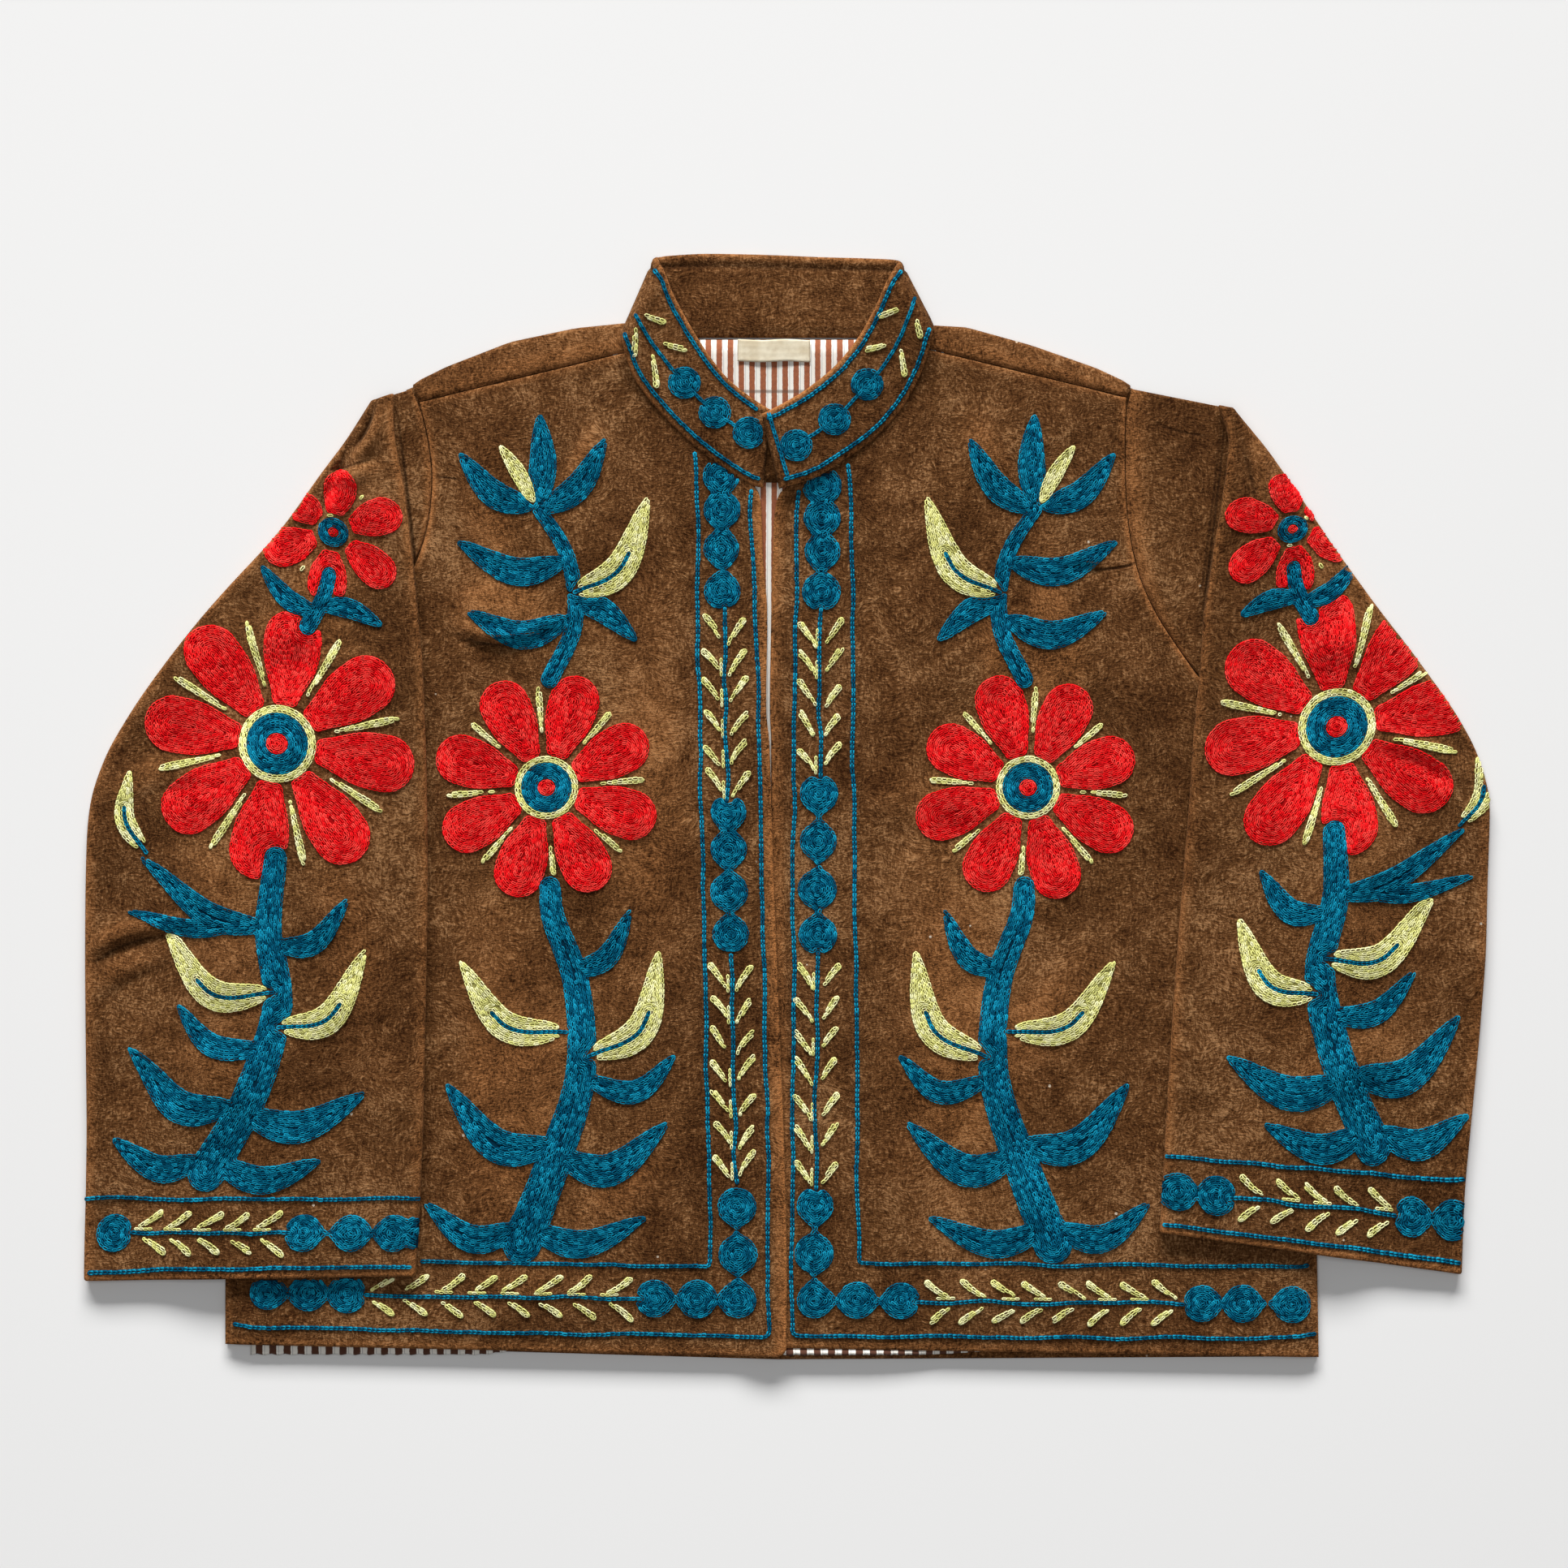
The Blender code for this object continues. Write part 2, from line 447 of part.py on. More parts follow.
def sleeve_section(row, armhole_out, sign):
    """One row across a sleeve, from the front seam over the top and back under it.

    Stations (out, height, rounding) run along the strip that lies on the front, the pleat at the
    cap, the inner fold, the top layer, the outer edge and the layer underneath. Below the underarm
    the strip comes up from the surface round the side of the body.
    """
    below = UNDERARM_Y - row.inner_y
    on_front = SLEEVE_ON_FRONT_Z
    climb = armhole_out + CLIMB_CLEARANCE
    drape_from = armhole_out
    inner = row.fold
    rise = FOLD_RISE
    fold_from = on_front
    first_turn = 2 * CLIMB_CLEARANCE
    end_out = armhole_out + WIDE_GAP
    if armhole_out < row.fold + PLEAT_ENDS:
        turn = max(row.fold + row.pleat, armhole_out + CLIMB_CLEARANCE)
        rise = PLEAT_RISE
        fold_from = on_front + rise
        first_turn = np.pi / 4 * rise
        drape_from = max(armhole_out, turn + PLEAT_DRAPE)
        inner = min(armhole_out, row.fold)
        half_way = (turn, on_front + rise / 2, 0.0)
        if armhole_out < row.fold:
            lead = [(armhole_out + WIDE_GAP, on_front, 0.0), (turn, on_front, SOFT_TURN), half_way]
            first_mark = 2
        else:
            lead = [(turn, on_front - rise / 2, 0.0), half_way]
            first_mark = 1
        lead.append((turn, fold_from, SOFT_TURN))
    elif below < -NEAR_UNDERARM:
        lead = [(armhole_out + WIDE_GAP, on_front, 0.0), (armhole_out - SHORT_LEAD, on_front, 0.0)]
        first_mark = 1
    elif below < NEAR_UNDERARM / 2:
        lead = [(climb, on_front, 0.0), (armhole_out - LONG_LEAD, on_front, 0.0)]
        first_mark = 1
    elif below < NEAR_UNDERARM * 2:
        climb = climb + UNDERARM_ROOM
        lead = [
            (climb, on_front - SHARP_TURN, 0.0),
            (climb, on_front, SHARP_TURN),
            (armhole_out - LONG_LEAD, on_front, 0.0),
        ]
        first_mark = 2
        end_out = armhole_out + UNDERARM_END_OUT
    else:
        climb = climb + UNDERARM_ROOM * (1 - smooth_step(below / UNDERARM_REACH))
        seam_out = armhole_out + UNDERARM_SEAM_OUT
        lead = [
            (seam_out, SLEEVE_FLOOR_Z, 0.0),
            (climb, SLEEVE_FLOOR_Z, SHARP_TURN),
            (climb, on_front, SHARP_TURN),
            (armhole_out - LONG_LEAD, on_front, 0.0),
        ]
        first_mark = 3
        end_out = seam_out + WIDE_GAP
    top_z = fold_from + rise
    half_way = (row.fold, (fold_from + top_z) / 2, 0.0)
    fold = [(row.fold, fold_from, SOFT_TURN), half_way, (row.fold, top_z, ROUND_TURN)]
    second_mark = len(lead) + 1
    outer = row.edge - SLEEVE_CLOTH / 2
    low_share = min(0.3, 2 * SOFT_TURN / (outer - row.fold))
    high_share = max(0.7, 1 - SOFT_TURN / (outer - row.fold))
    share = np.linspace(low_share, high_share, 14)
    out = row.fold + share * (outer - row.fold)
    level_y = row.inner_y + share * (row.outer_y - row.inner_y)
    high_z = top_z - FOLD_SETTLE * smooth_step((out - row.fold) / 0.030)
    fall = smooth_step((out - drape_from - PLEAT_DRAPE) / DRAPE_WIDTH)
    height = high_z + (SLEEVE_LOW_Z - high_z) * fall
    away_from_turns = smooth_step((out - row.fold) / 0.025) * smooth_step((outer - out) / 0.020)
    height = height + ridges(sign * out, level_y, SLEEVE_FOLDS) * away_from_turns
    top = [(across, level, 0.0) for across, level in zip(out, height)]
    edge_z = height[-1]
    middle_z = (edge_z + SLEEVE_FLOOR_Z) / 2
    roll = [(outer, edge_z, SOFT_TURN), (outer, middle_z, 0.0), (outer, SLEEVE_FLOOR_Z, SOFT_TURN)]
    stations = lead + fold + top + roll + [(end_out, SLEEVE_FLOOR_Z, 0.0)]
    points, lengths, marks = rounded_path(stations)
    marks = [0.0, marks[first_mark], marks[second_mark], marks[len(stations) - 3], lengths[-1]]
    turns = [0.0, first_turn, np.pi / 4 * rise, np.pi / 4 * (edge_z - SLEEVE_FLOOR_Z), 0.0]
    at = [0.0]
    for index, between in enumerate(SLEEVE_STOPS):
        stops = stretch_stops(marks[index + 1] - marks[index], turns[index], turns[index + 1], between)
        at.extend(marks[index] + stops[1:])
    across = np.interp(at, lengths, points[:, 0])
    height = np.interp(at, lengths, points[:, 1])
    y = row.inner_y + (across - inner) / (row.edge - inner) * (row.outer_y - row.inner_y)
    return np.column_stack([sign * across, y, height])


def sleeve_panel(rows, front_rows, shoulder_top, sign):
    """A whole sleeve: its sections joined from the cap to the cuff."""
    tip_out, tip_y = shoulder_top[-1]
    side_y = [row.side_y for row in front_rows] + [tip_y - SHOULDER_ROLL]
    side_out = [row.side_out for row in front_rows] + [tip_out + SEAM_GAP]
    grid = []
    for row in rows:
        body_out = np.interp(row.inner_y, side_y, side_out)
        grid.append(sleeve_section(row, body_out, sign))
    return np.array(grid)


def collar_band():
    """The collar: a band between its neck edge and its rim, smoothed along its length."""
    table = np.array(COLLAR)
    count = len(table)
    padded = np.vstack([2 * table[0] - table[1], table, 2 * table[-1] - table[-2]])
    rows = []
    for index in range(count - 1):
        a, b, c, d = padded[index:index + 4]
        for step in range(COLLAR_ROWS_BETWEEN):
            t = step / COLLAR_ROWS_BETWEEN
            rows.append(0.5 * (2 * b + (c - a) * t + (2 * a - 5 * b + 4 * c - d) * t ** 2
                               + (3 * b - a - 3 * c + d) * t ** 3))
    rows.append(table[-1])
    rows = np.array(rows)
    up = np.linspace(0, 1, COLLAR_CELLS_UP + 1)[None, :, None]
    return rows[:, None, :3] * (1 - up) + rows[:, None, 3:] * up


def label_tape():
    """The bare label, a small flat tape on the lining at the back of the neck."""
    across = np.linspace(-0.5, 0.5, 5) * LABEL_WIDTH + LABEL_CENTRE[0]
    up = np.linspace(-0.5, 0.5, 3) * LABEL_HEIGHT + LABEL_CENTRE[1]
    x, y = np.meshgrid(across, up)
    height = LINING_Z + LINING_CLOTH / 2 + SEAM_GAP + LABEL_CLOTH / 2
    return np.dstack([x, y, np.full(x.shape, height)])


def make_material(name, colour, roughness):
    """A plain material in the cloth's colour."""
    material = bpy.data.materials.new(name)
    material.use_nodes = True
    shader = material.node_tree.nodes["Principled BSDF"]
    shader.inputs["Base Color"].default_value = (*colour, 1.0)
    shader.inputs["Roughness"].default_value = roughness
    return material


def make_object(name, points, faces, look):
    """One named object with its own material."""
    mesh = bpy.data.meshes.new(name)
    mesh.from_pydata(points.tolist(), [], faces)
    mesh.validate()
    mesh.shade_smooth()
    piece = bpy.data.objects.new(name, mesh)
    label, colour, roughness = look
    piece.data.materials.append(make_material(name + " " + label, colour, roughness))
    bpy.context.scene.collection.objects.link(piece)


def main():
    """Clear the scene, work out every panel, centre them and make the objects."""
    for leftover in list(bpy.data.objects):
        bpy.data.objects.remove(leftover)
    back, back_kept = back_panel()
    front_right = front_panel(RIGHT_FRONT, -1, FRONT_FOLDS, RIGHT_SLEEVE, FRONT_OVERLAP_LIFT)
    front_left = front_panel(LEFT_FRONT, 1, FRONT_FOLDS, LEFT_SLEEVE, 0.0)
    sleeve_right = sleeve_panel(RIGHT_SLEEVE, RIGHT_FRONT, RIGHT_SHOULDER_TOP, -1)
    sleeve_left = sleeve_panel(LEFT_SLEEVE, LEFT_FRONT, LEFT_SHOULDER_TOP, 1)
    walls = {
        "back": (cloth_wall(back, BACK_CLOTH, back_kept), VELVET),
        "back_lining": (cloth_wall(lining_panel(), LINING_CLOTH), STRIPE),
        "front_right": (cloth_wall(front_right, FRONT_CLOTH), VELVET),
        "front_left": (cloth_wall(front_left, FRONT_CLOTH), VELVET),
        "sleeve_right": (cloth_wall(sleeve_right, SLEEVE_CLOTH), VELVET),
        "sleeve_left": (cloth_wall(sleeve_left, SLEEVE_CLOTH), VELVET),
        "collar": (cloth_wall(collar_band(), COLLAR_BAND), VELVET),
        "neck_label": (cloth_wall(label_tape(), LABEL_CLOTH), CREAM),
    }
    every_point = np.concatenate([points for (points, _), _ in walls.values()])
    low = every_point.min(axis=0)
    high = every_point.max(axis=0)
    centre = np.array([(low[0] + high[0]) / 2, (low[1] + high[1]) / 2, low[2]])
    for name, ((points, faces), look) in walls.items():
        make_object(name, points - centre, faces, look)


main()
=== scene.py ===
"""Looks of the embroidered velvet jacket that lies flat with its fronts up.

X runs across the jacket with the wearer's left at +X, +Y runs from the hem to the collar, and +Z is up.
Tables are measured before the jacket was centred in its box, and CENTRE is the shift between the two.
"""
import math
from collections import namedtuple

import bpy
import numpy as np
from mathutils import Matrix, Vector
from mathutils.bvhtree import BVHTree


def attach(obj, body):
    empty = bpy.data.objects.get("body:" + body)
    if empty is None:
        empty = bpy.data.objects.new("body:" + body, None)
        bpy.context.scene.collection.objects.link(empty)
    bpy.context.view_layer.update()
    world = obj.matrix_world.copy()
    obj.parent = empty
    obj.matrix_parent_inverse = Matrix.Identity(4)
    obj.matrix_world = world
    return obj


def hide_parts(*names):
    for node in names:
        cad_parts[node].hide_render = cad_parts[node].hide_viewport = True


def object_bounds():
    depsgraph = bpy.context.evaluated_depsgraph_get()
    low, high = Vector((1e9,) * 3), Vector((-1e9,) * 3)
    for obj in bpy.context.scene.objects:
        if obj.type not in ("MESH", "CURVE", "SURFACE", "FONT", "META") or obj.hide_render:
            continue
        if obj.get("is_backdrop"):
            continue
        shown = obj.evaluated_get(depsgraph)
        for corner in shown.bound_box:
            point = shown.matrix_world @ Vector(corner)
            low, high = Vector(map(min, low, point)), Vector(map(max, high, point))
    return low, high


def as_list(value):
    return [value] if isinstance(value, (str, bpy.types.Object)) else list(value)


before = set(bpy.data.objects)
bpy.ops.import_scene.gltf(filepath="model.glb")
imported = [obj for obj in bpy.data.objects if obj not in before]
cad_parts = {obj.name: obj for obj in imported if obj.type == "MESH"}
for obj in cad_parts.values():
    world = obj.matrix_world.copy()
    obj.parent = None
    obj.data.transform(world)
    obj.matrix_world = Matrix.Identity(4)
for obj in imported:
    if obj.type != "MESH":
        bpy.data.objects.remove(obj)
cad_low, cad_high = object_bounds()
CENTRE = np.array([-0.0001, 0.0011, 0.0])


# Fronts
# Two panels of brown cotton velvet, faced along the opening and the hem, that lie on the lining. They
# are sewn to the back at the shoulder and side, and are about 2.4 mm thick with their facings.

FRONT_CLOTH = 0.0024
FRONT_Z = 0.0049
FRONT_LENGTH = 0.57
FRONT_WIDTH = 0.30
FRONT_LOFT = 0.0016
FRONT_WAVES = 0.0007
OVERLAP_LIFT = 0.0027
SIDE_ROLL = 0.010
SIDE_DROP = 0.0014
UNDERARM_Y = 0.0099
NECK_POINT_Y = 0.1825
NECKLINE_FROM_Y = 0.186
CORNER_RADIUS = 0.0060
FACING_WIDTH = 0.0068
FACING_STITCH_HALF = 0.0013
FACING_STITCH_DEPTH = 0.00045
FACING_WEAR = {-1: 0.46, 1: 0.30}
CELL = 0.0032
EDGE_STOPS = np.array([0.0, 0.0003, 0.0009, 0.0018])
FOLD_DEPTH = 1.35
DEEPEST_FOLD = 0.0018
DIP_OFFSET = 1.3
CREASE_HALF = 0.0014
SHARP_ENOUGH = 0.65
VELVET_MID = (0.122, 0.0495, 0.0157)
VELVET_DARK = (0.030, 0.0095, 0.0022)
VELVET_PALE = (0.345, 0.178, 0.076)
# Rubbed edges, and painted highlight on the crests of folds.
VELVET_WORN_AND_HIGHLIGHT = (0.42, 0.165, 0.052)
# Painted shade, laid in grooves and along the dips of sharp folds.
VELVET_PAINTED_SHADE = (0.012, 0.0045, 0.0015)
LINT = (0.62, 0.52, 0.40)

FrontRow = namedtuple("FrontRow", "opening_x opening_y side_out side_y")
RIGHT_FRONT = [
    FrontRow(-0.0005, -0.3100, 0.3180, -0.3029),
    FrontRow(0.0000, -0.2740, 0.3180, -0.2707),
    FrontRow(-0.0005, -0.2300, 0.3175, -0.2270),
    FrontRow(-0.0018, -0.1840, 0.3171, -0.1810),
    FrontRow(-0.0037, -0.1380, 0.3161, -0.1350),
    FrontRow(-0.0055, -0.0920, 0.3152, -0.0890),
    FrontRow(-0.0071, -0.0500, 0.3134, -0.0476),
    FrontRow(-0.0083, -0.0150, 0.3106, -0.0131),
    FrontRow(-0.0092, 0.0150, 0.3082, 0.0099),
    FrontRow(-0.0103, 0.0440, 0.2875, 0.0329),
    FrontRow(-0.0110, 0.0720, 0.2622, 0.0591),
    FrontRow(-0.0117, 0.0996, 0.2438, 0.0812),
    FrontRow(-0.0136, 0.1249, 0.2277, 0.1065),
    FrontRow(-0.0152, 0.1480, 0.2139, 0.1295),
    FrontRow(-0.0161, 0.1660, 0.2075, 0.1442),
    FrontRow(-0.0166, 0.1830, 0.2029, 0.1594),
    FrontRow(-0.0315, 0.1912, 0.2006, 0.1778),
    FrontRow(-0.0490, 0.2040, 0.2006, 0.1939),
    FrontRow(-0.0680, 0.2219, 0.2024, 0.2063),
    FrontRow(-0.0826, 0.2398, 0.2047, 0.2183),
    FrontRow(-0.0905, 0.2582, 0.2079, 0.2298),
]
LEFT_FRONT = [
    FrontRow(-0.0046, -0.3050, 0.3008, -0.3103),
    FrontRow(-0.0046, -0.2300, 0.2994, -0.2270),
    FrontRow(-0.0055, -0.1840, 0.2985, -0.1810),
    FrontRow(-0.0067, -0.1380, 0.2976, -0.1350),
    FrontRow(-0.0076, -0.0920, 0.2967, -0.0890),
    FrontRow(-0.0083, -0.0500, 0.2953, -0.0476),
    FrontRow(-0.0087, -0.0150, 0.2930, -0.0154),
    FrontRow(-0.0090, 0.0150, 0.2898, 0.0099),
    FrontRow(-0.0090, 0.0420, 0.2691, 0.0343),
    FrontRow(-0.0087, 0.0650, 0.2484, 0.0559),
    FrontRow(-0.0083, 0.0900, 0.2314, 0.0757),
    FrontRow(-0.0076, 0.1130, 0.2203, 0.0918),
    FrontRow(-0.0069, 0.1340, 0.2088, 0.1088),
    FrontRow(-0.0060, 0.1600, 0.1992, 0.1295),
    FrontRow(-0.0036, 0.1820, 0.1941, 0.1502),
    FrontRow(0.0138, 0.1866, 0.1918, 0.1686),
    FrontRow(0.0315, 0.1976, 0.1909, 0.1870),
    FrontRow(0.0488, 0.2106, 0.1909, 0.2017),
    FrontRow(0.0632, 0.2272, 0.1909, 0.2146),
    FrontRow(0.0727, 0.2446, 0.1914, 0.2238),
    FrontRow(0.0795, 0.2598, 0.1918, 0.2325),
]
OpeningShift = namedtuple("OpeningShift", "y right left")
OPENING_SHIFTS = [
    OpeningShift(0.040, 0.0000, 0.0000),
    OpeningShift(0.052, -0.0013, -0.0009),
    OpeningShift(0.067, -0.0010, -0.0011),
    OpeningShift(0.090, 0.0000, -0.0011),
    OpeningShift(0.118, 0.0016, -0.0014),
    OpeningShift(0.141, 0.0011, -0.0016),
    OpeningShift(0.165, 0.0017, -0.0020),
    OpeningShift(0.180, 0.0017, -0.0022),
]
SleeveEdge = namedtuple("SleeveEdge", "y out")
SLEEVE_OVER_RIGHT = [
    SleeveEdge(-0.2634, 0.2108),
    SleeveEdge(-0.0476, 0.2038),
    SleeveEdge(0.1065, 0.2090),
    SleeveEdge(0.1778, 0.2160),
    SleeveEdge(0.2480, 0.2225),
]
SLEEVE_OVER_LEFT = [
    SleeveEdge(-0.2390, 0.2110),
    SleeveEdge(0.0099, 0.2283),
    SleeveEdge(0.1295, 0.2383),
    SleeveEdge(0.2017, 0.2487),
    SleeveEdge(0.2480, 0.2430),
]
Fold = namedtuple("Fold", "x0 y0 x1 y1 bow width height sharp")
FRONT_FOLDS = [
    Fold(-0.192, 0.112, -0.136, 0.108, 0.0, 0.014, 0.0022, 0.0),
    Fold(-0.188, 0.1035, -0.135, 0.1050, -0.007, 0.0036, 0.0028, 1.2),
    Fold(-0.205, 0.205, -0.196, 0.150, 0.004, 0.007, 0.0020, 0.7),
    Fold(-0.200, 0.192, -0.183, 0.190, 0.001, 0.0040, 0.0014, 0.9),
    Fold(-0.184, 0.196, -0.178, 0.160, -0.003, 0.007, 0.0012, 0.4),
    Fold(-0.176, 0.190, -0.166, 0.130, 0.003, 0.012, 0.0014, 0.0),
    Fold(-0.170, -0.080, -0.150, -0.240, 0.004, 0.030, 0.0013, 0.0),
    Fold(-0.075, 0.080, -0.080, -0.060, 0.003, 0.028, 0.0013, 0.0),
    Fold(-0.100, 0.235, -0.125, 0.180, 0.004, 0.010, 0.0015, 0.3),
    Fold(-0.130, -0.020, -0.070, -0.006, 0.003, 0.012, 0.0012, 0.3),
    Fold(-0.120, -0.120, -0.160, -0.160, 0.004, 0.016, 0.0012, 0.2),
    Fold(-0.080, -0.190, -0.110, -0.230, 0.003, 0.014, 0.0012, 0.2),
    Fold(0.145, 0.130, 0.150, 0.040, 0.003, 0.012, 0.0022, 0.2),
    Fold(0.166, 0.141, 0.202, 0.146, -0.003, 0.0038, 0.0028, 1.2),
    Fold(0.176, 0.170, 0.190, 0.120, 0.002, 0.007, 0.0018, 0.5),
    Fold(0.196, 0.205, 0.206, 0.160, 0.003, 0.007, 0.0016, 0.5),
    Fold(0.120, 0.110, 0.126, 0.060, -0.003, 0.012, 0.0012, 0.2),
    Fold(0.090, -0.040, 0.100, -0.200, 0.004, 0.030, 0.0013, 0.0),
    Fold(0.095, 0.238, 0.120, 0.190, -0.003, 0.010, 0.0013, 0.3),
    Fold(0.070, 0.006, 0.130, -0.006, 0.003, 0.012, 0.0012, 0.3),
    Fold(0.160, -0.100, 0.110, -0.140, 0.004, 0.016, 0.0012, 0.2),
]


class Wire:
    """A shader socket on which + - * / and the named functions add the nodes that work them out."""

    def __init__(self, nodes, socket):
        self.nodes = nodes
        self.socket = socket

    def math(self, operation, *others):
        return self.nodes.add("ShaderNodeMath", {"operation": operation}, [self, *others])

    def __add__(self, other):
        return self.math("ADD", other)

    def __radd__(self, other):
        return self.math("ADD", other)

    def __sub__(self, other):
        return self.math("SUBTRACT", other)

    def __rsub__(self, other):
        return self.nodes.add("ShaderNodeMath", {"operation": "SUBTRACT"}, [other, self])

    def __mul__(self, other):
        return self.math("MULTIPLY", other)

    def __rmul__(self, other):
        return self.math("MULTIPLY", other)

    def __truediv__(self, other):
        return self.math("DIVIDE", other)

    def limited(self):
        return self.nodes.add("ShaderNodeClamp", {}, {"Value": self})

    def between(self, low, high):
        """0 at low, 1 at high and a soft step between."""
        settings = {"interpolation_type": "SMOOTHSTEP"}
        values = {"Value": self, "From Min": low, "From Max": high}
        return self.nodes.add("ShaderNodeMapRange", settings, values)


class Finish:
    """A material under construction: its nodes, each added with settings first and sockets after."""

    def __init__(self, name):
        self.material = bpy.data.materials.new(name)
        self.material.use_nodes = True
        self.tree = self.material.node_tree
        self.shader = self.tree.nodes["Principled BSDF"]

    def add(self, kind, settings, values, output=0):
        node = self.tree.nodes.new(kind)
        for key, value in settings.items():
            setattr(node, key, value)
        pairs = values.items() if isinstance(values, dict) else enumerate(values)
        for key, value in pairs:
            self.plug(node.inputs[key], value)
        return Wire(self, node.outputs[output])

    def plug(self, socket, value):
        if isinstance(value, Wire):
            self.tree.links.new(value.socket, socket)
        elif socket.type == "RGBA" and len(value) == 3:
            socket.default_value = (*value, 1.0)
        else:
            socket.default_value = value

    def place(self):
        return self.add("ShaderNodeTexCoord", {}, {}, "Object")

    def moved(self, vector, scale, location=(0, 0, 0)):
        values = {"Vector": vector, "Scale": scale, "Location": location}
        return self.add("ShaderNodeMapping", {}, values)

    def vector_math(self, operation, first, second):
        settings = {"operation": operation}
        values = {0: first, ("Scale" if operation == "SCALE" else 1): second}
        return self.add("ShaderNodeVectorMath", settings, values)

    def split(self, vector, axis):
        return self.add("ShaderNodeSeparateXYZ", {}, [vector], axis)

    def noise(self, vector, scale, detail=3.0, roughness=0.5, distortion=0.0, output="Fac"):
        values = {
            "Vector": vector,
            "Scale": scale,
            "Detail": detail,
            "Roughness": roughness,
            "Distortion": distortion,
        }
        return self.add("ShaderNodeTexNoise", {}, values, output)

    def attribute(self, name):
        return self.add("ShaderNodeAttribute", {"attribute_name": name}, {}, "Fac")

    def mix(self, share, first, second):
        """The first colour where share is 0 and the second where it is 1. Sockets 6, 7 and 2 are the
        colour ones of a Mix node."""
        settings = {"data_type": "RGBA", "clamp_factor": True}
        return self.add("ShaderNodeMix", settings, {"Factor": share, 6: first, 7: second}, 2)

    def bump(self, height, distance, strength=1.0):
        values = {"Height": height, "Distance": distance, "Strength": strength}
        return self.add("ShaderNodeBump", {}, values, "Normal")

    def dressed(self, colour, relief, constants):
        """The material, with its colour and relief plugged in and the rest set on the shader."""
        values = {"Base Color": colour, "Normal": relief, **constants}
        for key, value in values.items():
            self.plug(self.shader.inputs[key], value)
        return self.material


def painted_crease_shadow(finish, place, fold):
    """Where painted shadow goes along a sharp fold: 1 along the bottom of its dip, 0 a little way off
    it and past its ends.
    """
    along_x = fold.x1 - fold.x0
    along_y = fold.y1 - fold.y0
    length = math.hypot(along_x, along_y)
    x = finish.split(place, 0) - (fold.x0 - CENTRE[0])
    y = finish.split(place, 1) - (fold.y0 - CENTRE[1])
    share = (x * along_x + y * along_y) / length ** 2
    across = (y * along_x - x * along_y) / length
    inside = share.limited()
    off = across - inside * (1.0 - inside) * (4 * fold.bow) + DIP_OFFSET * fold.width
    line = 1.0 - (off / CREASE_HALF).math("ABSOLUTE").between(0.0, 1.0)
    return line * share.between(0.0, 0.3) * (1.0 - share.between(0.7, 1.0)) * fold.sharp


def velvet_finish(name, turn=0.0, folds=()):
    """Brown cotton velvet: a short nap that lies in swirls, rubbed pale at its edges, with some lint.

    The nap is a sum of four noises, from clouds of 90 mm down to single hairs. Where the attribute
    wear_and_painted_shading is above 0 the cloth is rubbed pale at its edges, and on fold crests that
    paler colour is a painted highlight. Where it is below 0 a groove is painted dark as its shade, and
    sharp folds add painted shadow along their dips.
    """
    finish = Finish(name)
    place = finish.place()
    warp = finish.noise(place, 38.0, 2.0, 0.5, 0.0, "Color")
    swirl = finish.vector_math("SCALE", finish.vector_math("SUBTRACT", warp, (0.5, 0.5, 0.5)), 0.016)
    swirled = finish.vector_math("ADD", place, swirl)
    cloud = finish.noise(place, 11.0, 4.0, 0.6)
    mottle = finish.noise(swirled, 85.0, 4.0, 0.55, 0.3)
    strokes = finish.noise(finish.moved(swirled, (1.0, 0.34, 1.0), (turn, 0, 0)), 900.0, 3.0, 0.65)
    hairs = finish.noise(finish.moved(swirled, (0.32, 1.0, 1.0), (turn, 3, 0)), 1050.0, 3.0, 0.65)
    nap = mottle * 0.28 + strokes * 0.54 + hairs * 0.50 + cloud * 0.38
    wear_and_painted_shading = finish.attribute("wear_and_painted_shading")
    # Painted shade: below 0 the attribute marks a groove, and each sharp fold adds a painted shadow
    # line along its dip.
    groove_with_painted_shade = (0.0 - wear_and_painted_shading).limited()
    for fold in folds:
        if fold.sharp > SHARP_ENOUGH:
            groove_with_painted_shade = (groove_with_painted_shade + painted_crease_shadow(finish, place, fold) * 0.8).limited()
    specks = finish.add("ShaderNodeTexVoronoi", {}, {"Vector": place, "Scale": 34.0}, "Distance")
    colour = finish.mix(nap.between(0.66, 0.92), VELVET_DARK, VELVET_MID)
    colour = finish.mix(nap.between(0.85, 1.05), colour, VELVET_PALE)
    # Paler where rubbed at the edges; on the crests of folds this paler colour is a painted highlight.
    colour = finish.mix((wear_and_painted_shading * nap.between(0.66, 1.00) * 1.25).limited(), colour, VELVET_WORN_AND_HIGHLIGHT)
    # Painted shade, near black, in the grooves and along the crease lines.
    colour = finish.mix(groove_with_painted_shade * 0.75, colour, VELVET_PAINTED_SHADE)
    colour = finish.mix((1.0 - specks.between(0.018, 0.034)) * 0.85, colour, LINT)
    fuzz = strokes * 0.5 + hairs * 0.5
    relief = finish.bump(fuzz * 1.5 + mottle * 0.8 - groove_with_painted_shade * 0.6, 0.0013, 0.9)
    return finish.dressed(colour, relief, {
        "Roughness": 0.92,
        "Specular IOR Level": 0.04,
        "Sheen Weight": 0.06,
        "Sheen Roughness": 0.45,
        "Sheen Tint": (1.0, 0.62, 0.35),
    })


def rising(value, start, width):
    """0 up to the start, 1 from a width beyond it, and an even S curve between."""
    share = np.clip((value - start) / width, 0.0, 1.0)
    return share * share * (3 - 2 * share)


def bell(value, width):
    """1 at 0, falling to nothing on both sides in a bell curve of that width."""
    return np.exp(-(value / width) ** 2)


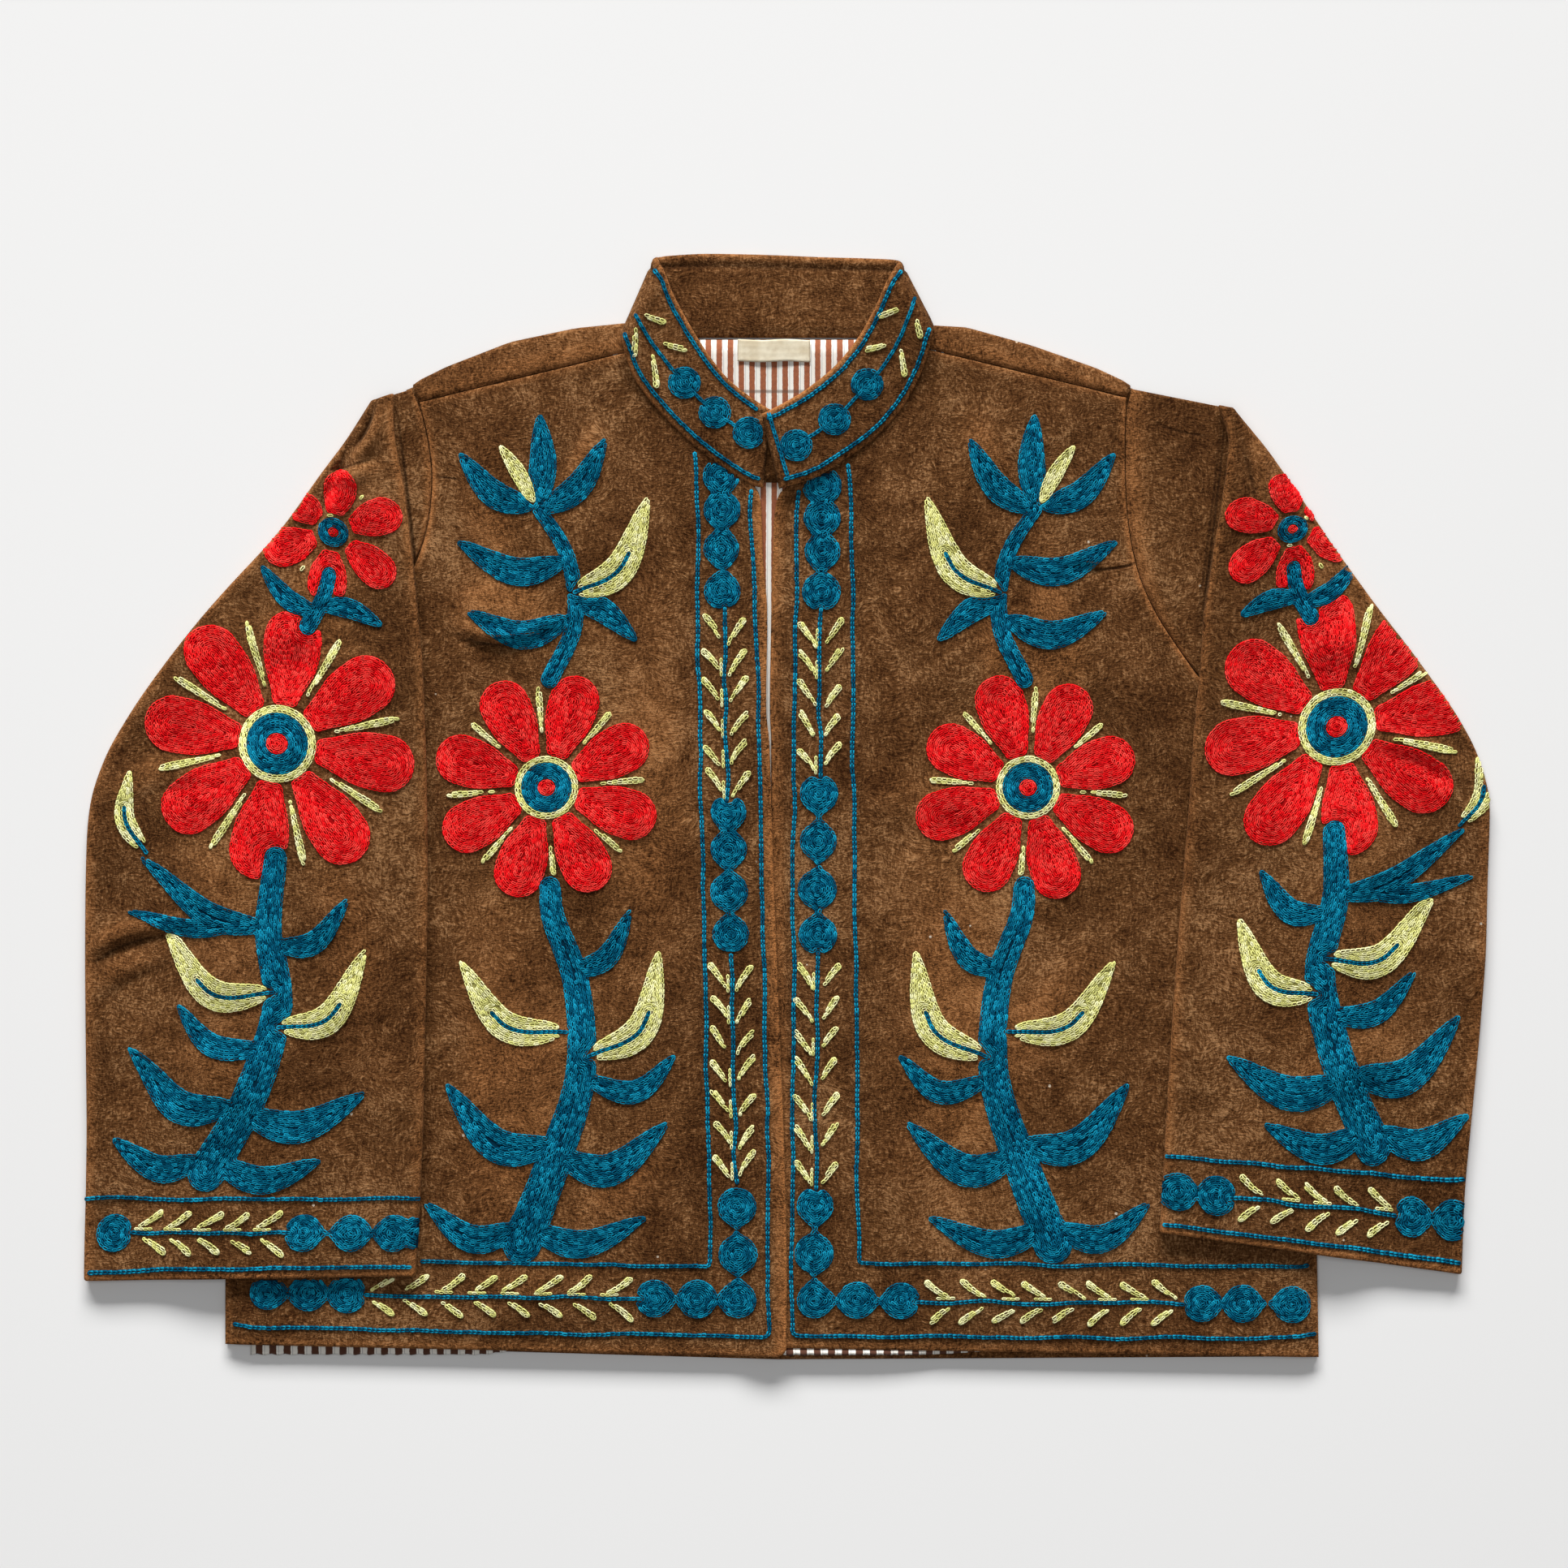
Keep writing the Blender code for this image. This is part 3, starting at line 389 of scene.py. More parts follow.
def stops_along(length, step):
    """Places from 0 to length, a step apart, and closer at both ends, where the cloth's edge rounds."""
    count = max(2, int(round((length - 2 * EDGE_STOPS[-1]) / step)))
    middle = np.linspace(EDGE_STOPS[-1], length - EDGE_STOPS[-1], count + 1)
    return np.concatenate([EDGE_STOPS[:-1], middle, length - EDGE_STOPS[-2::-1]])


def softened(values, passes):
    """Values along the first axis, each moved to the mean of itself and its neighbours, ends kept."""
    values = np.array(values)
    for _ in range(passes):
        values[1:-1] = (values[:-2] + 2 * values[1:-1] + values[2:]) / 4
    return values


def finer_rows(table, step, passes):
    """The rows of a table with others between them, a step apart, and its corners softened."""
    table = np.array(table)
    at = np.concatenate([[0], np.cumsum(np.linalg.norm(np.diff(table, axis=0), axis=1) / math.sqrt(2))])
    even = np.linspace(0, at[-1], 140)
    fine = softened(np.column_stack([np.interp(even, at, column) for column in table.T]), passes)
    stops = stops_along(FRONT_LENGTH, step) / FRONT_LENGTH * at[-1]
    return np.column_stack([np.interp(stops, even, column) for column in fine.T])


def fold_heights(x, y, folds):
    """Heights of soft folds: a bell curve across each bowed line, and a dip beside a sharp one."""
    height = np.zeros(np.shape(x))
    for fold in folds:
        along = np.array([fold.x1 - fold.x0, fold.y1 - fold.y0])
        length = np.hypot(*along)
        along = along / length
        share = ((x - fold.x0) * along[0] + (y - fold.y0) * along[1]) / length
        across = (x - fold.x0) * -along[1] + (y - fold.y0) * along[0]
        inside = np.clip(share, 0, 1)
        across = across - fold.bow * 4 * inside * (1 - inside)
        beyond = (share - inside) * length
        fade = bell(beyond, 2 * fold.width) * (0.35 + 0.65 * np.sin(np.pi * inside))
        crest = bell(across, fold.width)
        dip = fold.sharp * bell(across + DIP_OFFSET * fold.width, 0.55 * fold.width)
        height = height + FOLD_DEPTH * fold.height * fade * (crest - dip)
    return np.maximum(height, -DEEPEST_FOLD)


def slow_waves(x, y, seed, height):
    """Gentle unevenness of cloth that has been worn: the sum of a few long waves in odd directions."""
    random = np.random.default_rng(seed)
    total = np.zeros(np.shape(x))
    for _ in range(9):
        angle = random.uniform(0, np.pi)
        length = random.uniform(0.035, 0.120)
        phase = random.uniform(0, 2 * np.pi)
        total = total + np.sin((x * np.cos(angle) + y * np.sin(angle)) * 2 * np.pi / length + phase)
    return height * total / 3


def front_surface(rows, sign, sleeve_edge, lift, seed):
    """Middle of a front's wall and its wear, with painted highlight on fold crests, on a grid from the
    hem up and from opening to side.

    Each row is a straight line between its two ends in the table. Its height is the front's, with folds
    and waves where nothing holds the cloth down, a drop at the side, a lift where the front lies over
    the other, and a dip along the facing's stitches.
    """
    rows = finer_rows(rows, CELL, 6)
    share = stops_along(FRONT_WIDTH, CELL) / FRONT_WIDTH
    shift_y, shift_right, shift_left = zip(*OPENING_SHIFTS)
    shift = np.interp(rows[:, 1], shift_y, shift_right if sign < 0 else shift_left)
    shift[rows[:, 1] > NECK_POINT_Y] = 0.0
    opening = np.column_stack([rows[:, 0] + softened(shift, 2), rows[:, 1]])
    side = rows[:, 2:] * (sign, 1)
    flat = opening[:, None, :] + share[None, :, None] * (side - opening)[:, None, :]
    if sign < 0:
        near = CORNER_RADIUS - np.linalg.norm(flat - opening[:, None, :], axis=2)
        near = np.clip(near, 0, CORNER_RADIUS)
        lifted = CORNER_RADIUS - np.sqrt(CORNER_RADIUS ** 2 - near ** 2)
        above_hem = rows[:, 1:2] - rows[0, 1]
        flat[..., 1] = flat[..., 1] + lifted * (1 - rising(above_hem, 0, 3 * CORNER_RADIUS))
    x = flat[..., 0]
    y = flat[..., 1]
    from_side = np.linalg.norm(flat - side[:, None, :], axis=2)
    from_opening = np.linalg.norm(flat - opening[:, None, :], axis=2)
    from_top = np.linalg.norm(flat - flat[-1:], axis=2)
    from_hem = y - y[:1]
    below_neck = rising(NECKLINE_FROM_Y - opening[:, 1:], 0, 0.010)

    free = rising(np.interp(y, *zip(*sleeve_edge)) - sign * x, 0.012, 0.022)
    free = free * rising(from_opening, 0.030, 0.040) * rising(from_side, 0.008, 0.030)
    free = free * rising(rows[-1, 1] - y, 0.012, 0.030) * rising(y, -0.300, 0.030)
    folds = fold_heights(x, y, FRONT_FOLDS)
    z = FRONT_Z + free * (FRONT_LOFT + folds + slow_waves(x, y, seed, FRONT_WAVES))
    below_underarm = rising(UNDERARM_Y + SIDE_ROLL - y, 0, 2 * SIDE_ROLL)
    z = z - SIDE_DROP * (1 - rising(from_side, 0, SIDE_ROLL)) * below_underarm
    z = z + lift * (1 - rising(from_opening, 0.012, 0.020)) * rising(0.100 - y, 0, 0.055)
    z = z - FACING_STITCH_DEPTH * bell(from_opening - FACING_WIDTH, FACING_STITCH_HALF) * below_neck

    wear_and_painted_shading = FACING_WEAR[sign] * (1 - rising(from_opening, 0.0040, 0.004))
    wear_and_painted_shading = (wear_and_painted_shading + 0.45 * (1 - rising(from_opening, 0.0008, 0.0016))) * below_neck
    wear_and_painted_shading = wear_and_painted_shading + 0.30 * (1 - rising(from_side, 0, 0.006)) + 0.25 * (1 - rising(from_top, 0, 0.005))
    wear_and_painted_shading = wear_and_painted_shading + 0.35 * (1 - rising(from_side, 0.0006, 0.0020)) * (y > UNDERARM_Y)
    wear_and_painted_shading = wear_and_painted_shading + 0.50 * (1 - rising(from_hem, 0, 0.005))
    # Painted highlight: paler on the crests of the folds.
    wear_and_painted_shading = wear_and_painted_shading + 0.32 * np.clip(folds / 0.0014, 0, 1) * free
    return np.dstack([x, y, z]) - CENTRE, np.clip(wear_and_painted_shading, 0, 1)


def grid_normals(grid):
    """Unit normals of a grid of points, from the differences along its rows and columns."""
    normals = np.cross(np.gradient(grid, axis=1), np.gradient(grid, axis=0))
    return normals / np.linalg.norm(normals, axis=2)[..., None]


def edge_rounding(grid, thickness):
    """Share of its thickness that a wall has: all of it inside, less at the edges, as a round lip."""
    steps_down = np.linalg.norm(np.diff(grid, axis=0), axis=2)
    steps_over = np.linalg.norm(np.diff(grid, axis=1), axis=2)
    down = np.vstack([np.zeros((1, grid.shape[1])), np.cumsum(steps_down, axis=0)])
    over = np.hstack([np.zeros((grid.shape[0], 1)), np.cumsum(steps_over, axis=1)])
    nearest = np.minimum(np.minimum(down, down[-1:] - down), np.minimum(over, over[:, -1:] - over))
    share = 1 - np.clip(nearest / (0.75 * thickness), 0, 1)
    return np.maximum(np.sqrt(1 - share ** 2), 0.25)


def build_mesh(name, points, faces, attributes):
    """A smooth-shaded mesh object from arrays of points and four-cornered faces, on the root body."""
    mesh = bpy.data.meshes.new(name)
    mesh.vertices.add(len(points))
    mesh.vertices.foreach_set("co", np.asarray(points, dtype=np.float32).ravel())
    mesh.loops.add(faces.size)
    mesh.loops.foreach_set("vertex_index", faces.astype(np.int32).ravel())
    mesh.polygons.add(len(faces))
    mesh.polygons.foreach_set("loop_start", np.arange(0, faces.size, faces.shape[1], dtype=np.int32))
    mesh.update(calc_edges=True)
    mesh.validate()
    mesh.shade_smooth()
    for key, values in attributes.items():
        layer = mesh.attributes.new(key, "FLOAT", "POINT")
        layer.data.foreach_set("value", np.asarray(values, dtype=np.float32).ravel())
    piece = bpy.data.objects.new(name, mesh)
    bpy.context.scene.collection.objects.link(piece)
    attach(piece, "root")
    return piece


def cloth_shell(name, grid, thickness, wear_and_painted_shading, kept=None, rounding=None):
    """A closed wall of cloth round a grid: its upper face, its lower face and a rim between them."""
    rows, columns = grid.shape[:2]
    number = np.arange(rows * columns).reshape(rows, columns)
    cells = np.stack([number[:-1, :-1], number[:-1, 1:], number[1:, 1:], number[1:, :-1]], axis=-1)
    cells = cells.reshape(-1, 4) if kept is None else cells[kept]
    if rounding is None:
        rounding = edge_rounding(grid, thickness)
    normals = grid_normals(grid) * (rounding * thickness / 2)[..., None]
    count = rows * columns
    points = np.concatenate([(grid + normals).reshape(-1, 3), (grid - normals).reshape(-1, 3)])
    starts = cells.ravel()
    ends = np.roll(cells, -1, axis=1).ravel()
    rim = ~np.isin(starts * count + ends, ends * count + starts)
    lips = np.stack([ends[rim], starts[rim], starts[rim] + count, ends[rim] + count], axis=-1)
    faces = np.concatenate([cells, cells[:, ::-1] + count, lips])
    used, faces = np.unique(faces, return_inverse=True)
    faces = faces.reshape(-1, 4)
    wear_and_shading_values = np.concatenate([wear_and_painted_shading.ravel(), wear_and_painted_shading.ravel()])[used]
    return build_mesh(name, points[used], faces, {"wear_and_painted_shading": wear_and_shading_values})


fronts = {}
front_pieces = {}
for front_name, rows, sign, sleeve_edge, lift, seed in (
    ("front_right", RIGHT_FRONT, -1, SLEEVE_OVER_RIGHT, OVERLAP_LIFT, 11),
    ("front_left", LEFT_FRONT, 1, SLEEVE_OVER_LEFT, 0.0, 12),
):
    grid, wear_and_painted_shading = front_surface(rows, sign, sleeve_edge, lift, seed)
    fronts[front_name] = grid[:, ::sign]
    front = cloth_shell(front_name + "_velvet", fronts[front_name], FRONT_CLOTH, wear_and_painted_shading[:, ::sign])
    creases = [fold for fold in FRONT_FOLDS if fold.x0 * sign > 0]
    front.data.materials.append(velvet_finish(front_name + " brown velvet", 5.0, creases))
    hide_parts(front_name)
    front_pieces[front_name] = front


# Back and its rolled shoulders
# One panel of the same velvet under the fronts. It comes forward over the shoulders by about 16 mm
# to the shoulder seams, which are sewn right sides together and pressed open.

BACK_CLOTH = 0.0020
BACK_Z = 0.0010
MIDDLE_X = -0.005
HEM_MIDDLE_Y = -0.3120
NECKLINE_Y = 0.2660
SHOULDER_ROLL = 0.0022
SEAM_GAP = 0.0006
BACK_STEP = 0.012
ROLL_PUFF = 0.0009
BACK_WEAR = 0.15
ROLLED_WEAR = 0.45
ShoulderPoint = namedtuple("ShoulderPoint", "out y")
RIGHT_SHOULDER_TOP = [
    ShoulderPoint(0.0870, 0.2744),
    ShoulderPoint(0.1196, 0.2711),
    ShoulderPoint(0.1564, 0.2633),
    ShoulderPoint(0.1932, 0.2490),
    ShoulderPoint(0.2116, 0.2398),
]
LEFT_SHOULDER_TOP = [
    ShoulderPoint(0.0765, 0.2730),
    ShoulderPoint(0.1012, 0.2716),
    ShoulderPoint(0.1380, 0.2614),
    ShoulderPoint(0.1748, 0.2485),
    ShoulderPoint(0.1941, 0.2394),
]
RIGHT_SHOULDER_SEAM = [ShoulderPoint(0.0938, 0.2574), ShoulderPoint(0.2079, 0.2298)]
LEFT_SHOULDER_SEAM = [ShoulderPoint(0.0828, 0.2590), ShoulderPoint(0.1918, 0.2325)]


def back_half(front_rows, sign, shoulder_top, shoulder_seam):
    """Half of the back, from its middle to its side: up the body, round the shoulder in a half circle,
    and forward to the seam. Above the neckline it exists only outside the neck."""
    rows = finer_rows(front_rows, BACK_STEP, 3)
    neck_out, _ = shoulder_top[0]
    tip_out, tip_y = front_rows[-1].side_out, front_rows[-1].side_y
    neck_share = (neck_out - sign * MIDDLE_X) / (tip_out - sign * MIDDLE_X)
    past_neck = neck_share + (1 - neck_share) * np.linspace(0.05, 1, 26)
    share = np.concatenate([np.linspace(0, neck_share, 9), past_neck])
    low_y = rows[0, 3]
    top_y = np.interp(share, [neck_share, 1.0], [NECKLINE_Y, tip_y])
    hem = np.interp(share, [0.0, 1.0], [HEM_MIDDLE_Y, low_y])
    height = ((rows[:, 3] - low_y) / (tip_y - low_y))[:, None]
    body_x = MIDDLE_X + share * (sign * rows[:, 2:3] - MIDDLE_X)
    body_y = (1 - height) * hem + height * top_y
    grid = [np.dstack([body_x, body_y, np.full(body_x.shape, BACK_Z)])]
    shoulder_share = np.clip((share - neck_share) / (1 - neck_share), 0, 1)
    rolled_out = neck_out + shoulder_share * (shoulder_top[-1][0] - neck_out)
    seam_out = neck_out + shoulder_share * (tip_out - neck_out)
    crest = np.interp(rolled_out, *zip(*shoulder_top))
    seam = np.interp(seam_out, *zip(*shoulder_seam)) + SEAM_GAP
    on_neck = share < neck_share
    for angle in np.linspace(-np.pi / 2, np.pi / 2, 9):
        x = np.where(on_neck, body_x[-1], sign * rolled_out)
        y = crest - (1 - np.cos(angle)) * SHOULDER_ROLL
        z = np.full(len(share), BACK_Z + (1 + np.sin(angle)) / 2 * (FRONT_Z - BACK_Z))
        grid.append(np.dstack([x, y, z]))
    for step in (0.3, 0.6, 0.85, 0.97, 1.0):
        x = np.where(on_neck, body_x[-1], sign * ((1 - step) * rolled_out + step * seam_out))
        y = (1 - step) * (crest - SHOULDER_ROLL) + step * seam
        rise = ROLL_PUFF * np.sin(np.pi * step)
        grid.append(np.dstack([x, y, np.full(len(share), FRONT_Z + rise)]))
    grid = np.concatenate(grid)
    kept = np.ones((len(grid) - 1, len(share) - 1), dtype=bool)
    kept[len(rows) - 1:, :int(on_neck.sum())] = False
    return grid, kept, len(rows)


right_half, right_kept, body_rows = back_half(RIGHT_FRONT, -1, RIGHT_SHOULDER_TOP, RIGHT_SHOULDER_SEAM)
left_half, left_kept, body_rows = back_half(LEFT_FRONT, 1, LEFT_SHOULDER_TOP, LEFT_SHOULDER_SEAM)
middle = (right_half[:, :1] + left_half[:, :1]) / 2
back_grid = np.concatenate([right_half[:, :0:-1], middle, left_half[:, 1:]], axis=1) - CENTRE
back_kept = np.concatenate([right_kept[:, ::-1], left_kept], axis=1)
past_roll = (np.arange(len(back_grid)) - body_rows)[:, None]
back_wear = np.where(past_roll > 9, ROLLED_WEAR, BACK_WEAR) * np.ones(back_grid.shape[:2])
back = cloth_shell("back_velvet", back_grid, BACK_CLOTH, back_wear, back_kept)
back.data.materials.append(velvet_finish("back brown velvet", 9.0))
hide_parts("back")


# Striped lining and bare label
# Plain woven cotton with reddish-brown stripes about 6 mm apart, seen in the neck, between the fronts
# and as a ragged edge under the hem. The label is a cream woven tape sewn down at its two ends.

LINING_CLOTH = 0.0010
LINING_Z = 0.0028
LINING_HEM_Y = -0.3085
LINING_INSET = 0.014
LINING_IN_OPENING = 0.0006
HEM_TURNED_UP = 0.0030
STRIPE_PERIOD = 0.0062
HEM_STRIPE_PERIOD = 0.0079
STRIPE_PIVOT = 0.0104
LINING_SEAM_Y = 0.2362
LABEL_WIDTH = 0.041
LABEL_HEIGHT = 0.0125
LABEL_CENTRE = (-0.0075, 0.2592)
LABEL_Z = 0.0040
LABEL_CLOTH = 0.0006
LINING_WHITE = ((0.70, 0.66, 0.58), (0.93, 0.90, 0.84))
LINING_GREY = (0.22, 0.23, 0.26)
LINING_BROWN = ((0.19, 0.045, 0.016), (0.40, 0.125, 0.045))
# Painted shade: the brown stripes are painted darker at the hem, where the front's hem shades the
# lining.
LINING_HEM_PAINTED_SHADE = (0.030, 0.010, 0.004)
LINING_SEAM_BROWN = (0.10, 0.055, 0.035)
LABEL_CREAM = ((0.60, 0.50, 0.33), (0.80, 0.73, 0.56))
LABEL_RIB = (0.42, 0.33, 0.20)
LINING_LEVELS = [LINING_HEM_Y, -0.27, -0.21, -0.15, -0.09, -0.03, 0.0, 0.045, 0.09, 0.13, 0.17, 0.218]
TopPoint = namedtuple("TopPoint", "x y")
LINING_TOP = [
    TopPoint(-0.120, 0.2460),
    TopPoint(-0.105, 0.2540),
    TopPoint(-0.088, 0.2650),
    TopPoint(-0.050, 0.2655),
    TopPoint(-0.005, 0.2655),
    TopPoint(0.040, 0.2655),
    TopPoint(0.078, 0.2650),
    TopPoint(0.095, 0.2540),
    TopPoint(0.110, 0.2460),
]


def lining_surface():
    """Middle of the lining's wall: straight levels from side to side, and a top level that follows the
    neckline. The hem's edge is puckered a little at every stripe, and its middle is turned up."""
    share = np.linspace(0, 1, 150)
    rows = []
    sides = [
        (sign, *zip(*[(row.side_y, row.side_out) for row in front]))
        for front, sign in ((RIGHT_FRONT, -1), (LEFT_FRONT, 1))
    ]
    for level in LINING_LEVELS:
        low_x, high_x = (sign * (np.interp(level, *side) - LINING_INSET) for sign, *side in sides)
        rows.append(np.column_stack([low_x + share * (high_x - low_x), np.full(len(share), level)]))
    top_share = np.linspace(0, 1, len(LINING_TOP))
    rows.append(np.column_stack([np.interp(share, top_share, column) for column in zip(*LINING_TOP)]))
    rows = np.array(rows)
    at = np.concatenate([[0, 0.03, 0.06, 0.10, 0.15], np.linspace(0.22, len(rows) - 1, 68)])
    levels = np.arange(len(rows))
    x, y = (np.array([np.interp(at, levels, column) for column in rows[:, :, c].T]).T for c in (0, 1))
    pucker = 0.5 + 0.5 * np.sin(2 * np.pi * x / HEM_STRIPE_PERIOD + 1.5 * np.sin(x / 0.021))
    above_hem = y - LINING_HEM_Y
    drawn_back = rising(x, -0.175, 0.030) * rising(-x, 0.004, 0.004) + rising(x, 0.070, 0.080)
    y = y - 0.0009 * pucker * np.exp(-above_hem / 0.004)
    y = y + 0.0034 * drawn_back * np.exp(-above_hem / 0.030)
    front_y, front_x = zip(*[(row.opening_y, row.opening_x) for row in RIGHT_FRONT])
    across = x - np.interp(y, front_y, front_x) - 0.0010
    z = LINING_Z - 0.0002 * bell(y - LINING_SEAM_Y, 0.0012)
    z = z + LINING_IN_OPENING * bell(across, 0.0035) * rising(y, 0.020, 0.020)
    turned_up = rising(x, -0.012, 0.008) * rising(0.130 - x, 0, 0.090)
    z = z + HEM_TURNED_UP * turned_up * rising(-y, 0.3040, 0.0040)
    return np.dstack([x, y, z]) - CENTRE


def striped_finish():
    """White cotton with reddish-brown stripes, a thin grey line in each white, and a fine weave."""
    finish = Finish("white cotton with brown stripes")
    place = finish.place()
    across = finish.split(place, 0)
    along = finish.split(place, 1)
    drift = finish.noise(finish.moved(place, (60.0, 9.0, 1.0)), 1.0, 2.0, 0.5) - 0.5
    at_hem = 1.0 - along.between(-0.300, -0.180)
    period = at_hem * (HEM_STRIPE_PERIOD - STRIPE_PERIOD) + STRIPE_PERIOD
    phase = (across + STRIPE_PIVOT + drift * 0.0012) / period - 0.25
    wave = (phase * (2 * math.pi)).math("SINE")
    thread_edge = finish.noise(finish.moved(place, (1500.0, 420.0, 1.0)), 1.0, 2.0, 0.6) - 0.5
    stripe = (wave + thread_edge * 0.7).between(-0.22, 0.14)
    thin_wave = (phase * (2 * math.pi) + math.pi / 2 + 2.2).math("SINE")
    thin = thin_wave.between(0.975, 0.995)
    cloud = finish.noise(place, 40.0, 3.0, 0.5)
    white = finish.mix(cloud, *LINING_WHITE)
    white = finish.mix(thin * 0.55, white, LINING_GREY)
    brown = finish.mix(finish.noise(place, 700.0, 2.0, 0.6), *LINING_BROWN)
    # Painted shade: near the hem the brown stripes turn darker, for the shade under the front's hem.
    brown = finish.mix((1.0 - along.between(-0.306, -0.290)) * 0.8, brown, LINING_HEM_PAINTED_SHADE)
    colour = finish.mix(stripe, white, brown)
    seam = 1.0 - (along - (LINING_SEAM_Y - CENTRE[1])).math("ABSOLUTE").between(0.0004, 0.0014)
    colour = finish.mix(seam * 0.65, colour, LINING_SEAM_BROWN)
    warp = (across * 9000.0).math("SINE")
    weft = (along * 9000.0).math("SINE")
    return finish.dressed(colour, finish.bump(warp * weft, 0.0002, 0.5), {"Roughness": 0.85})


lining_grid = lining_surface()
lining = cloth_shell("striped_lining", lining_grid, LINING_CLOTH, np.zeros(lining_grid.shape[:2]))
lining.data.materials.append(striped_finish())
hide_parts("back_lining")


def label_surface():
    """Middle of the label's wall: a tape that bows up in its middle, with a ridge at each sewn end."""
    across, up = np.meshgrid(np.linspace(-0.5, 0.5, 42), np.linspace(-0.5, 0.5, 16))
    x = LABEL_CENTRE[0] + across * LABEL_WIDTH
    y = LABEL_CENTRE[1] + up * LABEL_HEIGHT + 0.0003 * np.sin(across * 9)
    bow = 0.0007 * (1 - (2 * across) ** 2) ** 2
    ridge = 0.0003 * bell(across - 0.47, 0.012) + 0.0003 * bell(across + 0.47, 0.012)
    return np.dstack([x, y, LABEL_Z + bow + ridge]) - CENTRE


def label_finish():
    """Cream tape with a fine rib along it and a little yellowing."""
    finish = Finish("cream woven tape")
    place = finish.place()
    cloud = finish.noise(place, 90.0, 3.0, 0.6)
    rib = (finish.split(place, 1) * 12000.0).math("SINE")
    colour = finish.mix(cloud.between(0.3, 0.7), *LABEL_CREAM)
    colour = finish.mix(rib * 0.06 + 0.06, colour, LABEL_RIB)
    return finish.dressed(colour, finish.bump(rib, 0.0001, 0.5), {"Roughness": 0.65})


label_grid = label_surface()
label = cloth_shell("neck_label_tape", label_grid, LABEL_CLOTH, np.zeros(label_grid.shape[:2]))
label.data.materials.append(label_finish())
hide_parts("neck_label")


# Sleeves
# Two whole velvet sleeves, set into the armholes, with no lining in sight. Each is folded at its inner
# side over its front, falls off the body's side to the surface, and lies on its own under layer.

SLEEVE_CLOTH = 0.0022
SLEEVE_FLOOR_Z = 0.0011
SLEEVE_ON_FRONT_Z = 0.0075
PLEAT_RISE = 0.0031
FOLD_RISE = 0.0050
SLEEVE_LOW_Z = 0.0058
DRAPE_WIDTH = 0.040
CLIMB_CLEARANCE = 0.0038
UNDERARM_SEAM_OUT = 0.013
UNDERARM_END_OUT = 0.009
UNDERARM_ROOM = 0.002
UNDERARM_REACH = 0.050
NEAR_UNDERARM = 0.004
PLEAT_ENDS = 0.012
PLEAT_DRAPE = 0.002
SHORT_LEAD = 0.004
LONG_LEAD = 0.006
SHARP_TURN = 0.003
SOFT_TURN = 0.004
ROUND_TURN = 0.006
FOLD_SETTLE = 0.0012
SLEEVE_WAVES = 0.0008
SLEEVE_STOPS = (14, 8, 46, 34)
TURN_STOPS = 5

SleeveRow = namedtuple("SleeveRow", "inner_y outer_y fold edge pleat")
RIGHT_SLEEVE = [
    SleeveRow(0.2375, 0.2300, 0.2225, 0.2345, 0.002),
    SleeveRow(0.2298, 0.2190, 0.2232, 0.2420, 0.002),
    SleeveRow(0.2183, 0.2080, 0.2230, 0.2485, 0.002),
    SleeveRow(0.2063, 0.1975, 0.2213, 0.2572, 0.008),
    SleeveRow(0.1939, 0.1870, 0.2190, 0.2654, 0.010),
    SleeveRow(0.1778, 0.1740, 0.2160, 0.2745, 0.010),
    SleeveRow(0.1594, 0.1594, 0.2140, 0.2850, 0.008),
    SleeveRow(0.1442, 0.1442, 0.2125, 0.2982, 0.005),
    SleeveRow(0.1295, 0.1295, 0.2104, 0.3125, 0.000),
    SleeveRow(0.1065, 0.1065, 0.2090, 0.3330, 0.000),
    SleeveRow(0.0812, 0.0812, 0.2065, 0.3528, 0.000),
    SleeveRow(0.0591, 0.0591, 0.2057, 0.3686, 0.000),
    SleeveRow(0.0329, 0.0329, 0.2048, 0.3846, 0.000),
    SleeveRow(0.0099, 0.0099, 0.2044, 0.3933, 0.000),
    SleeveRow(0.0040, 0.0040, 0.2043, 0.3945, 0.000),
    SleeveRow(-0.0131, -0.0131, 0.2040, 0.3964, 0.000),
    SleeveRow(-0.0476, -0.0476, 0.2038, 0.3972, 0.000),
    SleeveRow(-0.0890, -0.0890, 0.2045, 0.3974, 0.000),
    SleeveRow(-0.1350, -0.1350, 0.2054, 0.3970, 0.000),
    SleeveRow(-0.1810, -0.1810, 0.2064, 0.3964, 0.000),
    SleeveRow(-0.2200, -0.2200, 0.2080, 0.3970, 0.000),
    SleeveRow(-0.2470, -0.2480, 0.2096, 0.3978, 0.000),
    SleeveRow(-0.2634, -0.2670, 0.2108, 0.3980, 0.000),
]
